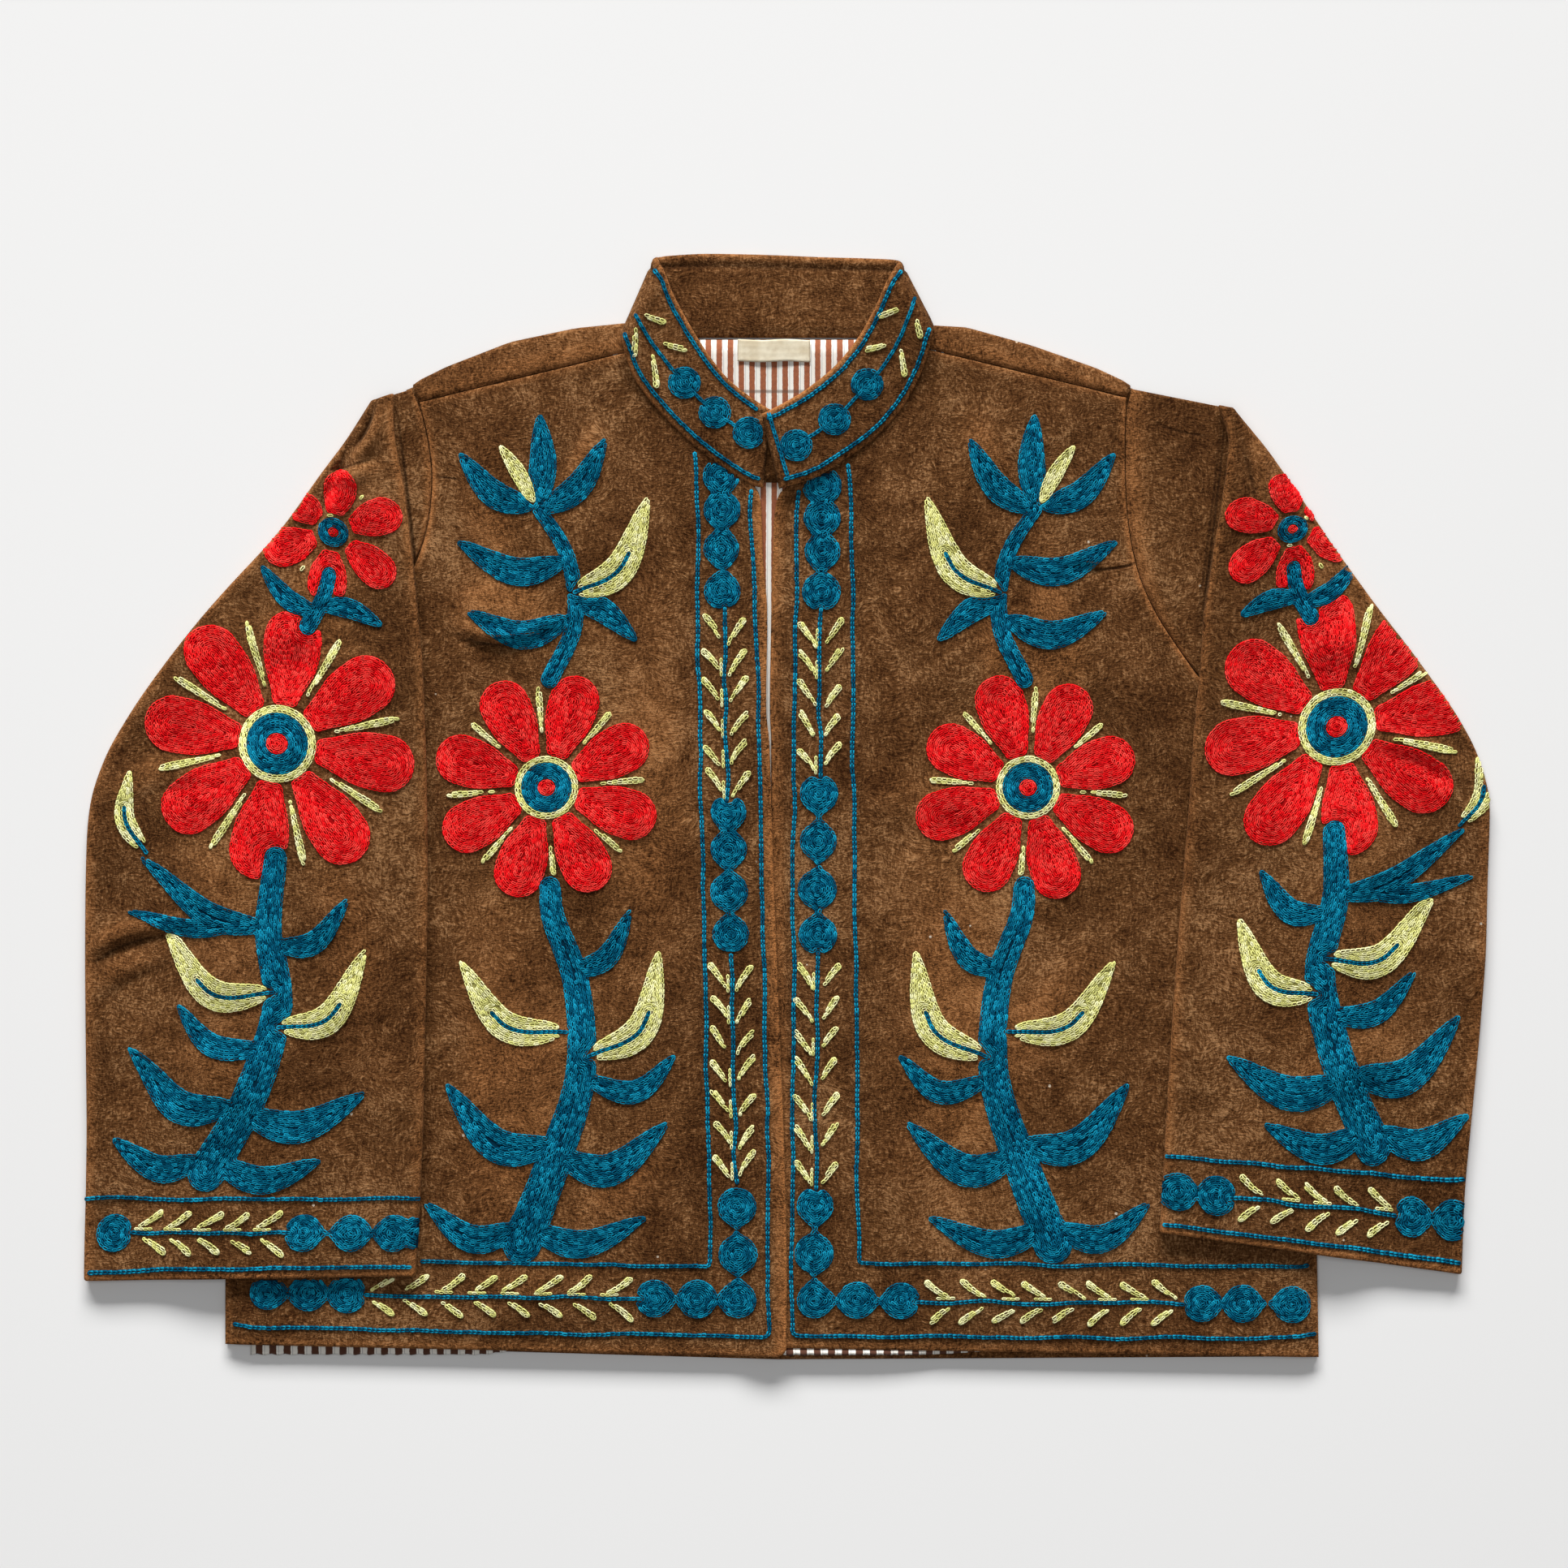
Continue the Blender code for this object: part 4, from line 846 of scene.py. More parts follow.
LEFT_SLEEVE = [
    SleeveRow(0.2375, 0.2258, 0.2435, 0.2515, 0.003),
    SleeveRow(0.2325, 0.2150, 0.2478, 0.2599, 0.002),
    SleeveRow(0.2238, 0.2060, 0.2505, 0.2686, 0.002),
    SleeveRow(0.2146, 0.1990, 0.2500, 0.2737, 0.006),
    SleeveRow(0.2017, 0.1900, 0.2487, 0.2800, 0.009),
    SleeveRow(0.1870, 0.1800, 0.2475, 0.2877, 0.012),
    SleeveRow(0.1686, 0.1660, 0.2450, 0.2972, 0.012),
    SleeveRow(0.1502, 0.1502, 0.2418, 0.3077, 0.012),
    SleeveRow(0.1295, 0.1295, 0.2383, 0.3225, 0.011),
    SleeveRow(0.1088, 0.1088, 0.2352, 0.3376, 0.009),
    SleeveRow(0.0918, 0.0918, 0.2347, 0.3512, 0.006),
    SleeveRow(0.0757, 0.0757, 0.2335, 0.3628, 0.004),
    SleeveRow(0.0660, 0.0660, 0.2324, 0.3700, 0.000),
    SleeveRow(0.0559, 0.0559, 0.2316, 0.3772, 0.000),
    SleeveRow(0.0343, 0.0343, 0.2296, 0.3897, 0.000),
    SleeveRow(0.0099, 0.0099, 0.2283, 0.3974, 0.000),
    SleeveRow(0.0040, 0.0040, 0.2279, 0.3978, 0.000),
    SleeveRow(-0.0045, -0.0035, 0.2272, 0.3977, 0.000),
    SleeveRow(-0.0154, -0.0120, 0.2262, 0.3975, 0.000),
    SleeveRow(-0.0476, -0.0420, 0.2236, 0.3964, 0.000),
    SleeveRow(-0.0850, -0.0830, 0.2206, 0.3955, 0.000),
    SleeveRow(-0.1250, -0.1290, 0.2179, 0.3918, 0.000),
    SleeveRow(-0.1640, -0.1740, 0.2154, 0.3875, 0.000),
    SleeveRow(-0.1990, -0.2150, 0.2136, 0.3835, 0.000),
    SleeveRow(-0.2230, -0.2440, 0.2122, 0.3824, 0.000),
    SleeveRow(-0.2390, -0.2634, 0.2110, 0.3818, 0.000),
]
SLEEVE_FOLDS = [
    Fold(-0.245, 0.160, -0.300, 0.080, 0.006, 0.014, 0.0018, 0.0),
    Fold(-0.330, -0.020, -0.310, -0.160, 0.006, 0.020, 0.0016, 0.0),
    Fold(-0.397, -0.083, -0.352, -0.066, 0.004, 0.0050, 0.0026, 1.0),
    Fold(-0.392, -0.102, -0.358, -0.084, 0.002, 0.006, 0.0014, 0.6),
    Fold(-0.238, 0.210, -0.264, 0.150, 0.003, 0.007, 0.0020, 0.8),
    Fold(-0.228, 0.224, -0.240, 0.200, 0.002, 0.0040, 0.0026, 1.0),
    Fold(-0.232, 0.192, -0.262, 0.186, 0.002, 0.0045, 0.0018, 0.9),
    Fold(-0.375, 0.012, -0.330, 0.022, 0.004, 0.008, 0.0016, 0.5),
    Fold(-0.300, 0.100, -0.250, 0.090, 0.003, 0.012, 0.0013, 0.2),
    Fold(-0.350, -0.140, -0.290, -0.170, 0.005, 0.014, 0.0013, 0.2),
    Fold(-0.260, -0.030, -0.240, -0.120, 0.003, 0.014, 0.0012, 0.0),
    Fold(0.275, 0.170, 0.320, 0.090, 0.005, 0.014, 0.0018, 0.0),
    Fold(0.320, 0.020, 0.305, -0.150, 0.006, 0.020, 0.0016, 0.0),
    Fold(0.262, 0.210, 0.272, 0.165, 0.002, 0.006, 0.0018, 0.7),
    Fold(0.206, 0.228, 0.246, 0.218, -0.003, 0.006, 0.0022, 0.8),
    Fold(0.214, 0.216, 0.240, 0.200, -0.002, 0.006, 0.0016, 0.6),
    Fold(0.340, 0.040, 0.385, 0.020, 0.003, 0.007, 0.0018, 0.5),
    Fold(0.280, 0.080, 0.340, 0.100, 0.003, 0.012, 0.0013, 0.2),
    Fold(0.350, -0.120, 0.290, -0.160, 0.005, 0.014, 0.0013, 0.2),
    # These last three lines have no height: they only paint shadow beside the folds where the sleeves
    # lie over the fronts.
    Fold(-0.2070, 0.085, -0.2245, 0.240, -0.0012, 0.0014, 0.0, 1.2),
    Fold(0.2505, 0.229, 0.2330, 0.085, 0.001, 0.0016, 0.0, 1.2),
    Fold(0.2505, 0.229, 0.2330, 0.085, 0.001, 0.0032, 0.0, 0.8),
]


def rounded_path(stations):
    """A path through stations (out, z, radius), its corners rounded, and the length at each station."""
    points = [np.array(stations[0][:2])]
    marks = [0]
    for index in range(1, len(stations) - 1):
        before = np.array(stations[index - 1][:2])
        here = np.array(stations[index][:2])
        after = np.array(stations[index + 1][:2])
        to_before = np.linalg.norm(before - here)
        to_after = np.linalg.norm(after - here)
        room_before = to_before * (0.5 if stations[index - 1][2] > 0 else 1.0)
        room_after = to_after * (0.5 if stations[index + 1][2] > 0 else 1.0)
        radius = min(stations[index][2], room_before, room_after)
        if radius > 0:
            start = here + (before - here) * radius / to_before
            end = here + (after - here) * radius / to_after
            share = np.linspace(0, 1, 9)[:, None]
            points.extend((1 - share) ** 2 * start + 2 * share * (1 - share) * here + share ** 2 * end)
            marks.append(len(points) - 5)
        else:
            points.append(here)
            marks.append(len(points) - 1)
    points.append(np.array(stations[-1][:2]))
    marks.append(len(points) - 1)
    points = np.array(points)
    lengths = np.concatenate([[0], np.cumsum(np.linalg.norm(np.diff(points, axis=0), axis=1))])
    return points, lengths, lengths[marks]


def stretch_stops(length, turn_before, turn_after, between):
    """Places along a stretch of a path: several in each turn at its ends, the rest evenly between."""
    before = min(turn_before, length / 3)
    after = min(turn_after, length / 3)
    stops = list(np.linspace(before, length - after, between))
    if before > 0:
        stops = list(np.linspace(0, before, TURN_STOPS)[:-1]) + stops
    if after > 0:
        stops = stops + list(np.linspace(length - after, length, TURN_STOPS)[1:])
    return np.array(stops)


def sleeve_section(row, armhole_out, sign):
    """One row across a sleeve, from the front seam over the top and back under it.

    Stations (out, height, rounding) run along the strip that lies on the front, the pleat at the
    cap, the inner fold, the top layer, the outer edge and the layer underneath. Below the underarm
    the strip comes up from the surface round the side of the body.
    """
    below = UNDERARM_Y - row.inner_y
    on_front = SLEEVE_ON_FRONT_Z
    climb = armhole_out + CLIMB_CLEARANCE
    drape_from = armhole_out
    inner = row.fold
    rise = FOLD_RISE
    fold_from = on_front
    first_turn = 2 * CLIMB_CLEARANCE
    end_out = armhole_out + SEAM_GAP
    if armhole_out < row.fold + PLEAT_ENDS:
        turn = max(row.fold + row.pleat, armhole_out + CLIMB_CLEARANCE)
        rise = PLEAT_RISE
        fold_from = on_front + rise
        first_turn = np.pi / 4 * rise
        drape_from = max(armhole_out, turn + PLEAT_DRAPE)
        inner = min(armhole_out, row.fold)
        half_way = (turn, on_front + rise / 2, 0.0)
        if armhole_out < row.fold:
            lead = [(armhole_out + SEAM_GAP, FRONT_Z, 0.0), (turn, on_front, SOFT_TURN), half_way]
            first_mark = 2
        else:
            lead = [(turn, on_front - rise / 2, 0.0), half_way]
            first_mark = 1
        lead.append((turn, fold_from, SOFT_TURN))
    elif below < -NEAR_UNDERARM:
        lead = [(armhole_out + SEAM_GAP, on_front, 0.0), (armhole_out - SHORT_LEAD, on_front, 0.0)]
        first_mark = 1
    elif below < NEAR_UNDERARM / 2:
        lead = [(climb, on_front, 0.0), (armhole_out - LONG_LEAD, on_front, 0.0)]
        first_mark = 1
    elif below < NEAR_UNDERARM * 2:
        climb = climb + UNDERARM_ROOM
        lead = [
            (climb, on_front - SHARP_TURN, 0.0),
            (climb, on_front, SHARP_TURN),
            (armhole_out - LONG_LEAD, on_front, 0.0),
        ]
        first_mark = 2
        end_out = armhole_out + UNDERARM_END_OUT
    else:
        climb = climb + UNDERARM_ROOM * (1 - rising(below, 0, UNDERARM_REACH))
        seam_out = armhole_out + UNDERARM_SEAM_OUT
        lead = [
            (seam_out, SLEEVE_FLOOR_Z, 0.0),
            (climb, SLEEVE_FLOOR_Z, SHARP_TURN),
            (climb, on_front, SHARP_TURN),
            (armhole_out - LONG_LEAD, on_front, 0.0),
        ]
        first_mark = 3
        end_out = seam_out + SEAM_GAP
    top_z = fold_from + rise
    half_way = (row.fold, (fold_from + top_z) / 2, 0.0)
    fold = [(row.fold, fold_from, SOFT_TURN), half_way, (row.fold, top_z, ROUND_TURN)]
    second_mark = len(lead) + 1
    outer = row.edge - SLEEVE_CLOTH / 2
    low_share = min(0.3, 2 * SOFT_TURN / (outer - row.fold))
    high_share = max(0.7, 1 - SOFT_TURN / (outer - row.fold))
    out = row.fold + np.linspace(low_share, high_share, 40) * (outer - row.fold)
    high_z = top_z - FOLD_SETTLE * rising(out, row.fold, 0.030)
    fall = rising(out - drape_from, PLEAT_DRAPE, DRAPE_WIDTH)
    height = high_z + (SLEEVE_LOW_Z - high_z) * fall
    top = [(across, level, 0.0) for across, level in zip(out, height)]
    edge_z = height[-1]
    middle_z = (edge_z + SLEEVE_FLOOR_Z) / 2
    roll = [(outer, edge_z, SOFT_TURN), (outer, middle_z, 0.0), (outer, SLEEVE_FLOOR_Z, SOFT_TURN)]
    stations = lead + fold + top + roll + [(end_out, SLEEVE_FLOOR_Z, 0.0)]
    points, lengths, marks = rounded_path(stations)
    marks = [0.0, marks[first_mark], marks[second_mark], marks[len(stations) - 3], lengths[-1]]
    turns = [0.0, first_turn, np.pi / 4 * rise, np.pi / 4 * (edge_z - SLEEVE_FLOOR_Z), 0.0]
    at = [np.array([0.0])]
    for index, between in enumerate(SLEEVE_STOPS):
        stops = stretch_stops(marks[index + 1] - marks[index], turns[index], turns[index + 1], between)
        at.append(marks[index] + stops[1:])
    fold_column = len(at[0]) + len(at[1]) + len(at[2]) - 1
    at = np.concatenate(at)
    across = np.interp(at, lengths, points[:, 0])
    height = np.interp(at, lengths, points[:, 1])
    y = row.inner_y + (across - inner) / (row.edge - inner) * (row.outer_y - row.inner_y)
    on_top = rising(at, marks[2], 0.012) * rising(marks[3] - at, 0, 0.010)
    on_fold = bell(at - marks[2], 0.0035) + bell(at - marks[3], 0.004)
    return np.column_stack([sign * across, y, height, on_top, on_fold]), fold_column


def sleeve_surface(rows, front_rows, shoulder_top, sign, seed):
    """Middle of a sleeve's wall: its sections joined from cap to cuff, with finer rows between them."""
    tip_out, tip_y = shoulder_top[-1]
    side_y = [row.side_y for row in front_rows] + [tip_y - SHOULDER_ROLL]
    side_out = [row.side_out for row in front_rows] + [tip_out + SEAM_GAP / 2]
    sections = []
    for row in rows:
        section, fold_column = sleeve_section(row, np.interp(row.inner_y, side_y, side_out), sign)
        sections.append(section)
    sections = np.array(sections)
    levels = np.array([row.inner_y for row in rows])
    even = np.linspace(levels[0], levels[-1], 150)
    stops = levels[0] - stops_along(levels[0] - levels[-1], CELL)
    place = np.interp(-even, -levels, np.arange(len(levels)))
    low = np.minimum(place.astype(int), len(levels) - 2)
    share = (place - low)[:, None, None]
    fine = softened((1 - share) * sections[low] + share * sections[low + 1], 8)
    place = np.interp(-stops, -even, np.arange(len(even)))
    low = np.minimum(place.astype(int), len(even) - 2)
    share = (place - low)[:, None, None]
    fine = (1 - share) * fine[low] + share * fine[low + 1]
    x, y, z, on_top, on_fold = np.moveaxis(fine, 2, 0)
    creases = fold_heights(x, y, SLEEVE_FOLDS)
    z = z + on_top * (creases + slow_waves(x, y, seed, SLEEVE_WAVES))
    from_cuff = stops[:, None] - stops[-1]
    wear_and_painted_shading = 0.55 * on_fold + 0.65 * (1 - rising(from_cuff, 0, 0.006))
    wear_and_painted_shading = wear_and_painted_shading + 0.5 * (1 - rising(np.arange(x.shape[1])[None, :], 0, 3.0))
    # Painted highlight: paler on the crests of the creases.
    wear_and_painted_shading = wear_and_painted_shading + 0.2 * np.clip(creases / 0.0012, 0, 1) * on_top
    grid = np.dstack([x, y, z]) - CENTRE
    return grid, np.clip(wear_and_painted_shading, 0, 1), stops, fold_column


sleeves = {}
sleeve_pieces = {}
for sleeve_name, rows, front_rows, shoulder_top, sign, seed in (
    ("sleeve_right", RIGHT_SLEEVE, RIGHT_FRONT, RIGHT_SHOULDER_TOP, -1, 21),
    ("sleeve_left", LEFT_SLEEVE, LEFT_FRONT, LEFT_SHOULDER_TOP, 1, 22),
):
    grid, wear_and_painted_shading, levels, fold_column = sleeve_surface(rows, front_rows, shoulder_top, sign, seed)
    sleeves[sleeve_name] = (grid, levels, fold_column, sign)
    turned = slice(None, None, -sign)
    sleeve = cloth_shell(sleeve_name + "_velvet", grid[:, turned], SLEEVE_CLOTH, wear_and_painted_shading[:, turned])
    creases = [fold for fold in SLEEVE_FOLDS if fold.x0 * sign > 0]
    sleeve.data.materials.append(velvet_finish(sleeve_name + " brown velvet", 2.0 + seed, creases))
    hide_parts(sleeve_name)
    sleeve_pieces[sleeve_name] = sleeve


# Collar
# One stiffened band of doubled velvet about 43 mm high, topstitched along both edges. It is laid as a
# flat ring: its outer face shows over the fronts and its inner face at the back of the neck.

COLLAR_BAND = 0.0038
COLLAR_HEIGHT = 0.044
COLLAR_CELL = 0.0022
COLLAR_STEPS = 10
TOPSTITCH = 0.0030
BACK_OF_NECK_Y = 0.278
CollarRow = namedtuple("CollarRow", "neck_x neck_y neck_z rim_x rim_y rim_z")
COLLAR = [
    CollarRow(-0.0135, 0.1815, 0.0057, -0.0095, 0.2255, 0.0064),
    CollarRow(-0.0200, 0.1832, 0.0057, -0.0190, 0.2315, 0.0068),
    CollarRow(-0.0338, 0.1914, 0.0057, -0.0335, 0.2430, 0.0076),
    CollarRow(-0.0512, 0.2043, 0.0058, -0.0455, 0.2580, 0.0088),
    CollarRow(-0.0700, 0.2222, 0.0064, -0.0560, 0.2750, 0.0102),
    CollarRow(-0.0845, 0.2400, 0.0080, -0.0635, 0.2890, 0.0114),
    CollarRow(-0.0900, 0.2520, 0.0104, -0.0675, 0.2985, 0.0120),
    CollarRow(-0.0922, 0.2600, 0.0120, -0.0700, 0.3045, 0.0122),
    CollarRow(-0.0929, 0.2668, 0.0076, -0.0733, 0.3108, 0.0076),
    CollarRow(-0.0905, 0.2674, 0.0027, -0.0725, 0.3122, 0.0027),
    CollarRow(-0.0850, 0.2670, 0.0019, -0.0660, 0.3132, 0.0019),
    CollarRow(-0.0600, 0.2667, 0.0019, -0.0480, 0.3142, 0.0019),
    CollarRow(-0.0320, 0.2667, 0.0019, -0.0270, 0.3140, 0.0019),
    CollarRow(-0.0050, 0.2667, 0.0019, -0.0050, 0.3134, 0.0019),
    CollarRow(0.0220, 0.2667, 0.0019, 0.0180, 0.3124, 0.0019),
    CollarRow(0.0500, 0.2667, 0.0019, 0.0400, 0.3118, 0.0019),
    CollarRow(0.0730, 0.2680, 0.0019, 0.0560, 0.3112, 0.0019),
    CollarRow(0.0790, 0.2700, 0.0027, 0.0610, 0.3106, 0.0027),
    CollarRow(0.0818, 0.2716, 0.0076, 0.0625, 0.3085, 0.0076),
    CollarRow(0.0812, 0.2650, 0.0122, 0.0592, 0.3030, 0.0122),
    CollarRow(0.0795, 0.2570, 0.0110, 0.0550, 0.2950, 0.0122),
    CollarRow(0.0750, 0.2446, 0.0080, 0.0495, 0.2830, 0.0112),
    CollarRow(0.0655, 0.2274, 0.0062, 0.0400, 0.2660, 0.0100),
    CollarRow(0.0509, 0.2107, 0.0060, 0.0270, 0.2500, 0.0096),
    CollarRow(0.0336, 0.1980, 0.0070, 0.0110, 0.2370, 0.0098),
    CollarRow(0.0158, 0.1870, 0.0090, -0.0020, 0.2290, 0.0106),
    CollarRow(-0.0045, 0.1806, 0.0101, -0.0146, 0.2225, 0.0112),
]


def smooth_line(points, samples=8):
    """A rounded curve through points: each stretch is a cubic, and its slope at a point is half the
    step from that point's neighbour on one side to the one on the other."""
    points = np.array(points, dtype=float)
    padded = np.vstack([2 * points[0] - points[1], points, 2 * points[-1] - points[-2]])
    t = (np.arange(samples) / samples)[None, :, None]
    a, b, c, d = (padded[k:k + len(points) - 1][:, None, :] for k in range(4))
    square = 2 * a - 5 * b + 4 * c - d
    cube = 3 * b - a - 3 * c + d
    curve = 0.5 * (2 * b + (c - a) * t + square * t ** 2 + cube * t ** 3)
    return np.vstack([curve.reshape(-1, points.shape[1]), points[-1:]])


def collar_surface():
    """Middle of the collar's wall: a smooth curve through each end of the table's rows, and straight
    lines from neck to rim. With it come its wear, with painted shade along the topstitching, and the
    share of its thickness at each point."""
    rows = smooth_line(COLLAR, COLLAR_STEPS)
    height = stops_along(COLLAR_HEIGHT, COLLAR_CELL)
    up = (height / COLLAR_HEIGHT)[None, :, None]
    grid = rows[:, None, :3] * (1 - up) + rows[:, None, 3:] * up
    at_back = rising(grid[..., 1].mean(axis=1), BACK_OF_NECK_Y, 0.008)[:, None]
    from_rim = COLLAR_HEIGHT - height
    stitched = bell(height - TOPSTITCH, 0.0010)
    stitched = stitched + bell(from_rim - TOPSTITCH - 0.0030 * at_back, 0.0011) * (1 + at_back)
    near_edge = 1 - rising(np.minimum(height, from_rim), 0.0008, 0.0024)
    # Painted shade along the topstitching: there the value goes below 0, which the velvet paints dark,
    # doubled at the back of the neck.
    wear_and_painted_shading = np.clip(0.75 * near_edge * (1 - 0.6 * at_back) + 0.06, 0, 1) - 0.75 * np.clip(stitched, 0, 1)
    grid = grid - CENTRE
    return grid, wear_and_painted_shading, edge_rounding(grid, COLLAR_BAND) * (1 - 0.22 * stitched)


collar_grid, collar_wear_and_shading, collar_rounding = collar_surface()
collar = cloth_shell("collar_velvet", collar_grid, COLLAR_BAND, collar_wear_and_shading, None, collar_rounding)
collar.data.materials.append(velvet_finish("collar brown velvet", 14.0))
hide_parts("collar")


# Seam ribbons
# The turned-in edges of the velvet, seen in the gaps where the collar and the sleeves are sewn in, and
# between the collar's two ends. Each is a narrow ribbon just under the outer cloth.

SEAM_CLOTH = 0.0010
NECK_SEAM_Z = 0.0023
MIDDLE_SEAM_Z = 0.0044
ARMHOLE_SEAM_Z = 0.0029
SEAM_HALF = 0.0045
MIDDLE_SEAM_HALF = 0.0055
ARMHOLE_FROM_Y = 0.100
COLLAR_ENDS_LINE = ((-0.0110, 0.2180, 0.0), (-0.0095, 0.1845, 0.0))
SeamRows = namedtuple("SeamRows", "side first past")
NECK_SEAM_ROWS = [SeamRows("right", 6, 82), SeamRows("left", 182, 256)]


def seam_strip(name, line, inward, z, wide):
    """The turned-in cloth edges of a seam, seen in its gap: a flat ribbon along a line."""
    inward = inward * (1, 1, 0)
    inward = inward / np.linalg.norm(inward, axis=1, keepdims=True)
    grid = line[:, None] + np.linspace(-wide, wide, 6)[None, :, None] * inward[:, None]
    grid[..., 2] = z
    strip = cloth_shell(name, grid, SEAM_CLOTH, np.zeros(grid.shape[:2]))
    strip.data.materials.append(velvet_finish(name.replace("_", " ") + " brown velvet", 3.0))


ends_line = np.linspace(*COLLAR_ENDS_LINE, 8) - CENTRE
sideways = np.tile((1.0, 0.0, 0.0), (len(ends_line), 1))
seam_strip("neck_seam_middle", ends_line, sideways, MIDDLE_SEAM_Z, MIDDLE_SEAM_HALF)
for side_name, first, past in NECK_SEAM_ROWS:
    edge = collar_grid[first:past, 0]
    inward = collar_grid[first:past, 4] - edge
    seam_strip("neck_seam_" + side_name, edge, inward, NECK_SEAM_Z, SEAM_HALF)
for side_name, rows, tip, sign in (
    ("right", RIGHT_FRONT, RIGHT_SHOULDER_TOP[-1], -1),
    ("left", LEFT_FRONT, LEFT_SHOULDER_TOP[-1], 1),
):
    edge = finer_rows(rows, CELL, 3)[:, 2:]
    to_tip = np.linspace(edge[-1], np.array(tip) - (0, SHOULDER_ROLL / 2), 5)[1:]
    edge = np.vstack([edge[edge[:, 1] > ARMHOLE_FROM_Y], to_tip]) * (sign, 1)
    edge = np.column_stack([edge, np.zeros(len(edge))]) - CENTRE
    along = np.gradient(edge, axis=0)
    inward = np.column_stack([along[:, 1], -along[:, 0], along[:, 2]]) * sign
    seam_strip("armhole_seam_" + side_name, edge, inward, ARMHOLE_SEAM_Z, SEAM_HALF)


# Chain-stitch embroidery
# Thick cotton yarn in blue, red and lime, hooked through the velvet as rows of chain links. The rows of
# a filled form follow its outline inwards, and the borders are single rows, discs and leafy vines.

ROW = 0.0021
LINK = 0.0029
LINE_LINK = 0.0027
ROW_HALF = 0.00106
FILLER_HALF = 0.00085
SINGLE_ROW = 0.00108
LINE_HALF = 0.00125
YARN = 0.00040
LINE_YARN = 1.55
YARN_HEIGHT = 0.00105
PAD_HEIGHT = 0.00030
PAD_INSET = 0.0009
LINE_SWAY = 0.0011
RASTER = 0.0006
DISC = 0.0107
POINT_SHARES = (0.45, 0.85)
POINT_HALVES = (0.0072, 0.0034, 0.0011)
LEAFLET_SPACING = 0.0180
VINE_OVERLAP = 0.003
STRAND_CHANCE = 0.75
LEAFLET_HALVES = (0.00110, 0.00165, 0.00215)
STRAND_HALF = 0.00090
LINK_STRAY = 0.00008
FULL_HEIGHT_HALF = 0.0009
PAD_SHADE = 0.4
# Each yarn's dark colour is painted shade, low between the links, on the pads and on the far half of
# each link in a single row; in a form it is also a random darker tone.
YarnColours = namedtuple("YarnColours", "dark middle pale")
YARNS = {
    "blue": YarnColours((0.0002, 0.010, 0.025), (0.0004, 0.100, 0.190), (0.008, 0.32, 0.50)),
    "red": YarnColours((0.24, 0.0004, 0.0015), (0.95, 0.010, 0.014), (1.0, 0.070, 0.058)),
    "lime": YarnColours((0.26, 0.235, 0.060), (0.86, 0.85, 0.30), (1.0, 0.98, 0.58)),
}


class Ground:
    """The outer face of a panel over its pattern's two directions, read between a table's points."""

    def __init__(self, across, up, points, normals, side):
        self.across = across
        self.up = up
        self.points = points
        self.normals = normals
        self.side = side

    def at(self, u, v, height):
        column = np.interp(u, self.across, np.arange(len(self.across)), np.nan, np.nan)
        row = np.interp(v, self.up, np.arange(len(self.up)), np.nan, np.nan)
        j = np.clip(np.nan_to_num(column).astype(int), 0, len(self.across) - 2)
        i = np.clip(np.nan_to_num(row).astype(int), 0, len(self.up) - 2)
        s = (column - j)[..., None]
        t = (row - i)[..., None]
        point, normal = (
            (1 - t) * ((1 - s) * table[i, j] + s * table[i, j + 1])
            + t * ((1 - s) * table[i + 1, j] + s * table[i + 1, j + 1])
            for table in (self.points, self.normals)
        )
        return point + height[..., None] * normal, normal


def ground_from_above(piece, low, high, sign):
    """A piece's upper face over a raster of 1 mm by 2 mm, found by rays. The first direction is x, or
    for the wearer's right the distance out from the middle, and the second is y."""
    mesh = piece.data
    corners = [tuple(polygon.vertices) for polygon in mesh.polygons]
    tree = BVHTree.FromPolygons([vertex.co for vertex in mesh.vertices], corners)
    across = np.arange(low[0], high[0], 0.001)
    up = np.arange(low[1], high[1], 0.002)
    points = np.full((len(up), len(across), 3), np.nan)
    for i, y in enumerate(up):
        for j, out in enumerate(across):
            above = Vector((sign * out - CENTRE[0], y - CENTRE[1], 0.05))
            place, *_ = tree.ray_cast(above, Vector((0, 0, -1)))
            if place is not None:
                points[i, j] = place
    return Ground(across, up, points, np.zeros_like(points) + (0, 0, 1), sign)


def sleeve_ground(name):
    """A sleeve's outer face over the length round it from its fold, and the height above its cuff."""
    grid, levels, fold_column, sign = sleeves[name]
    across = np.arange(-0.085, 0.230, 0.0015)
    rows = []
    for line in grid[::-1]:
        lengths = np.concatenate([[0], np.cumsum(np.linalg.norm(np.diff(line, axis=0), axis=1))])
        lengths = lengths - lengths[fold_column]
        columns = [np.interp(across, lengths, line[:, k], np.nan, np.nan) for k in range(3)]
        rows.append(np.column_stack(columns))
    middle = np.array(rows)
    normals = sign * grid_normals(middle)
    return Ground(across, levels[::-1] - levels[-1], middle + normals * SLEEVE_CLOTH / 2, normals, sign)


def collar_line(height, low, high):
    """Where the collar's outer face shows at a height above its neck edge, between two of its rows."""
    columns = stops_along(COLLAR_HEIGHT, COLLAR_CELL)
    middle = np.column_stack([
        [np.interp(height, columns, row) for row in collar_grid[..., k]] for k in range(3)
    ])
    normals = grid_normals(collar_grid)[:, len(columns) // 2]
    good = normals[:, 2] > 0.25
    good[:low] = False
    good[high:] = False
    return (middle + normals * COLLAR_BAND / 2 + CENTRE)[good, :2]


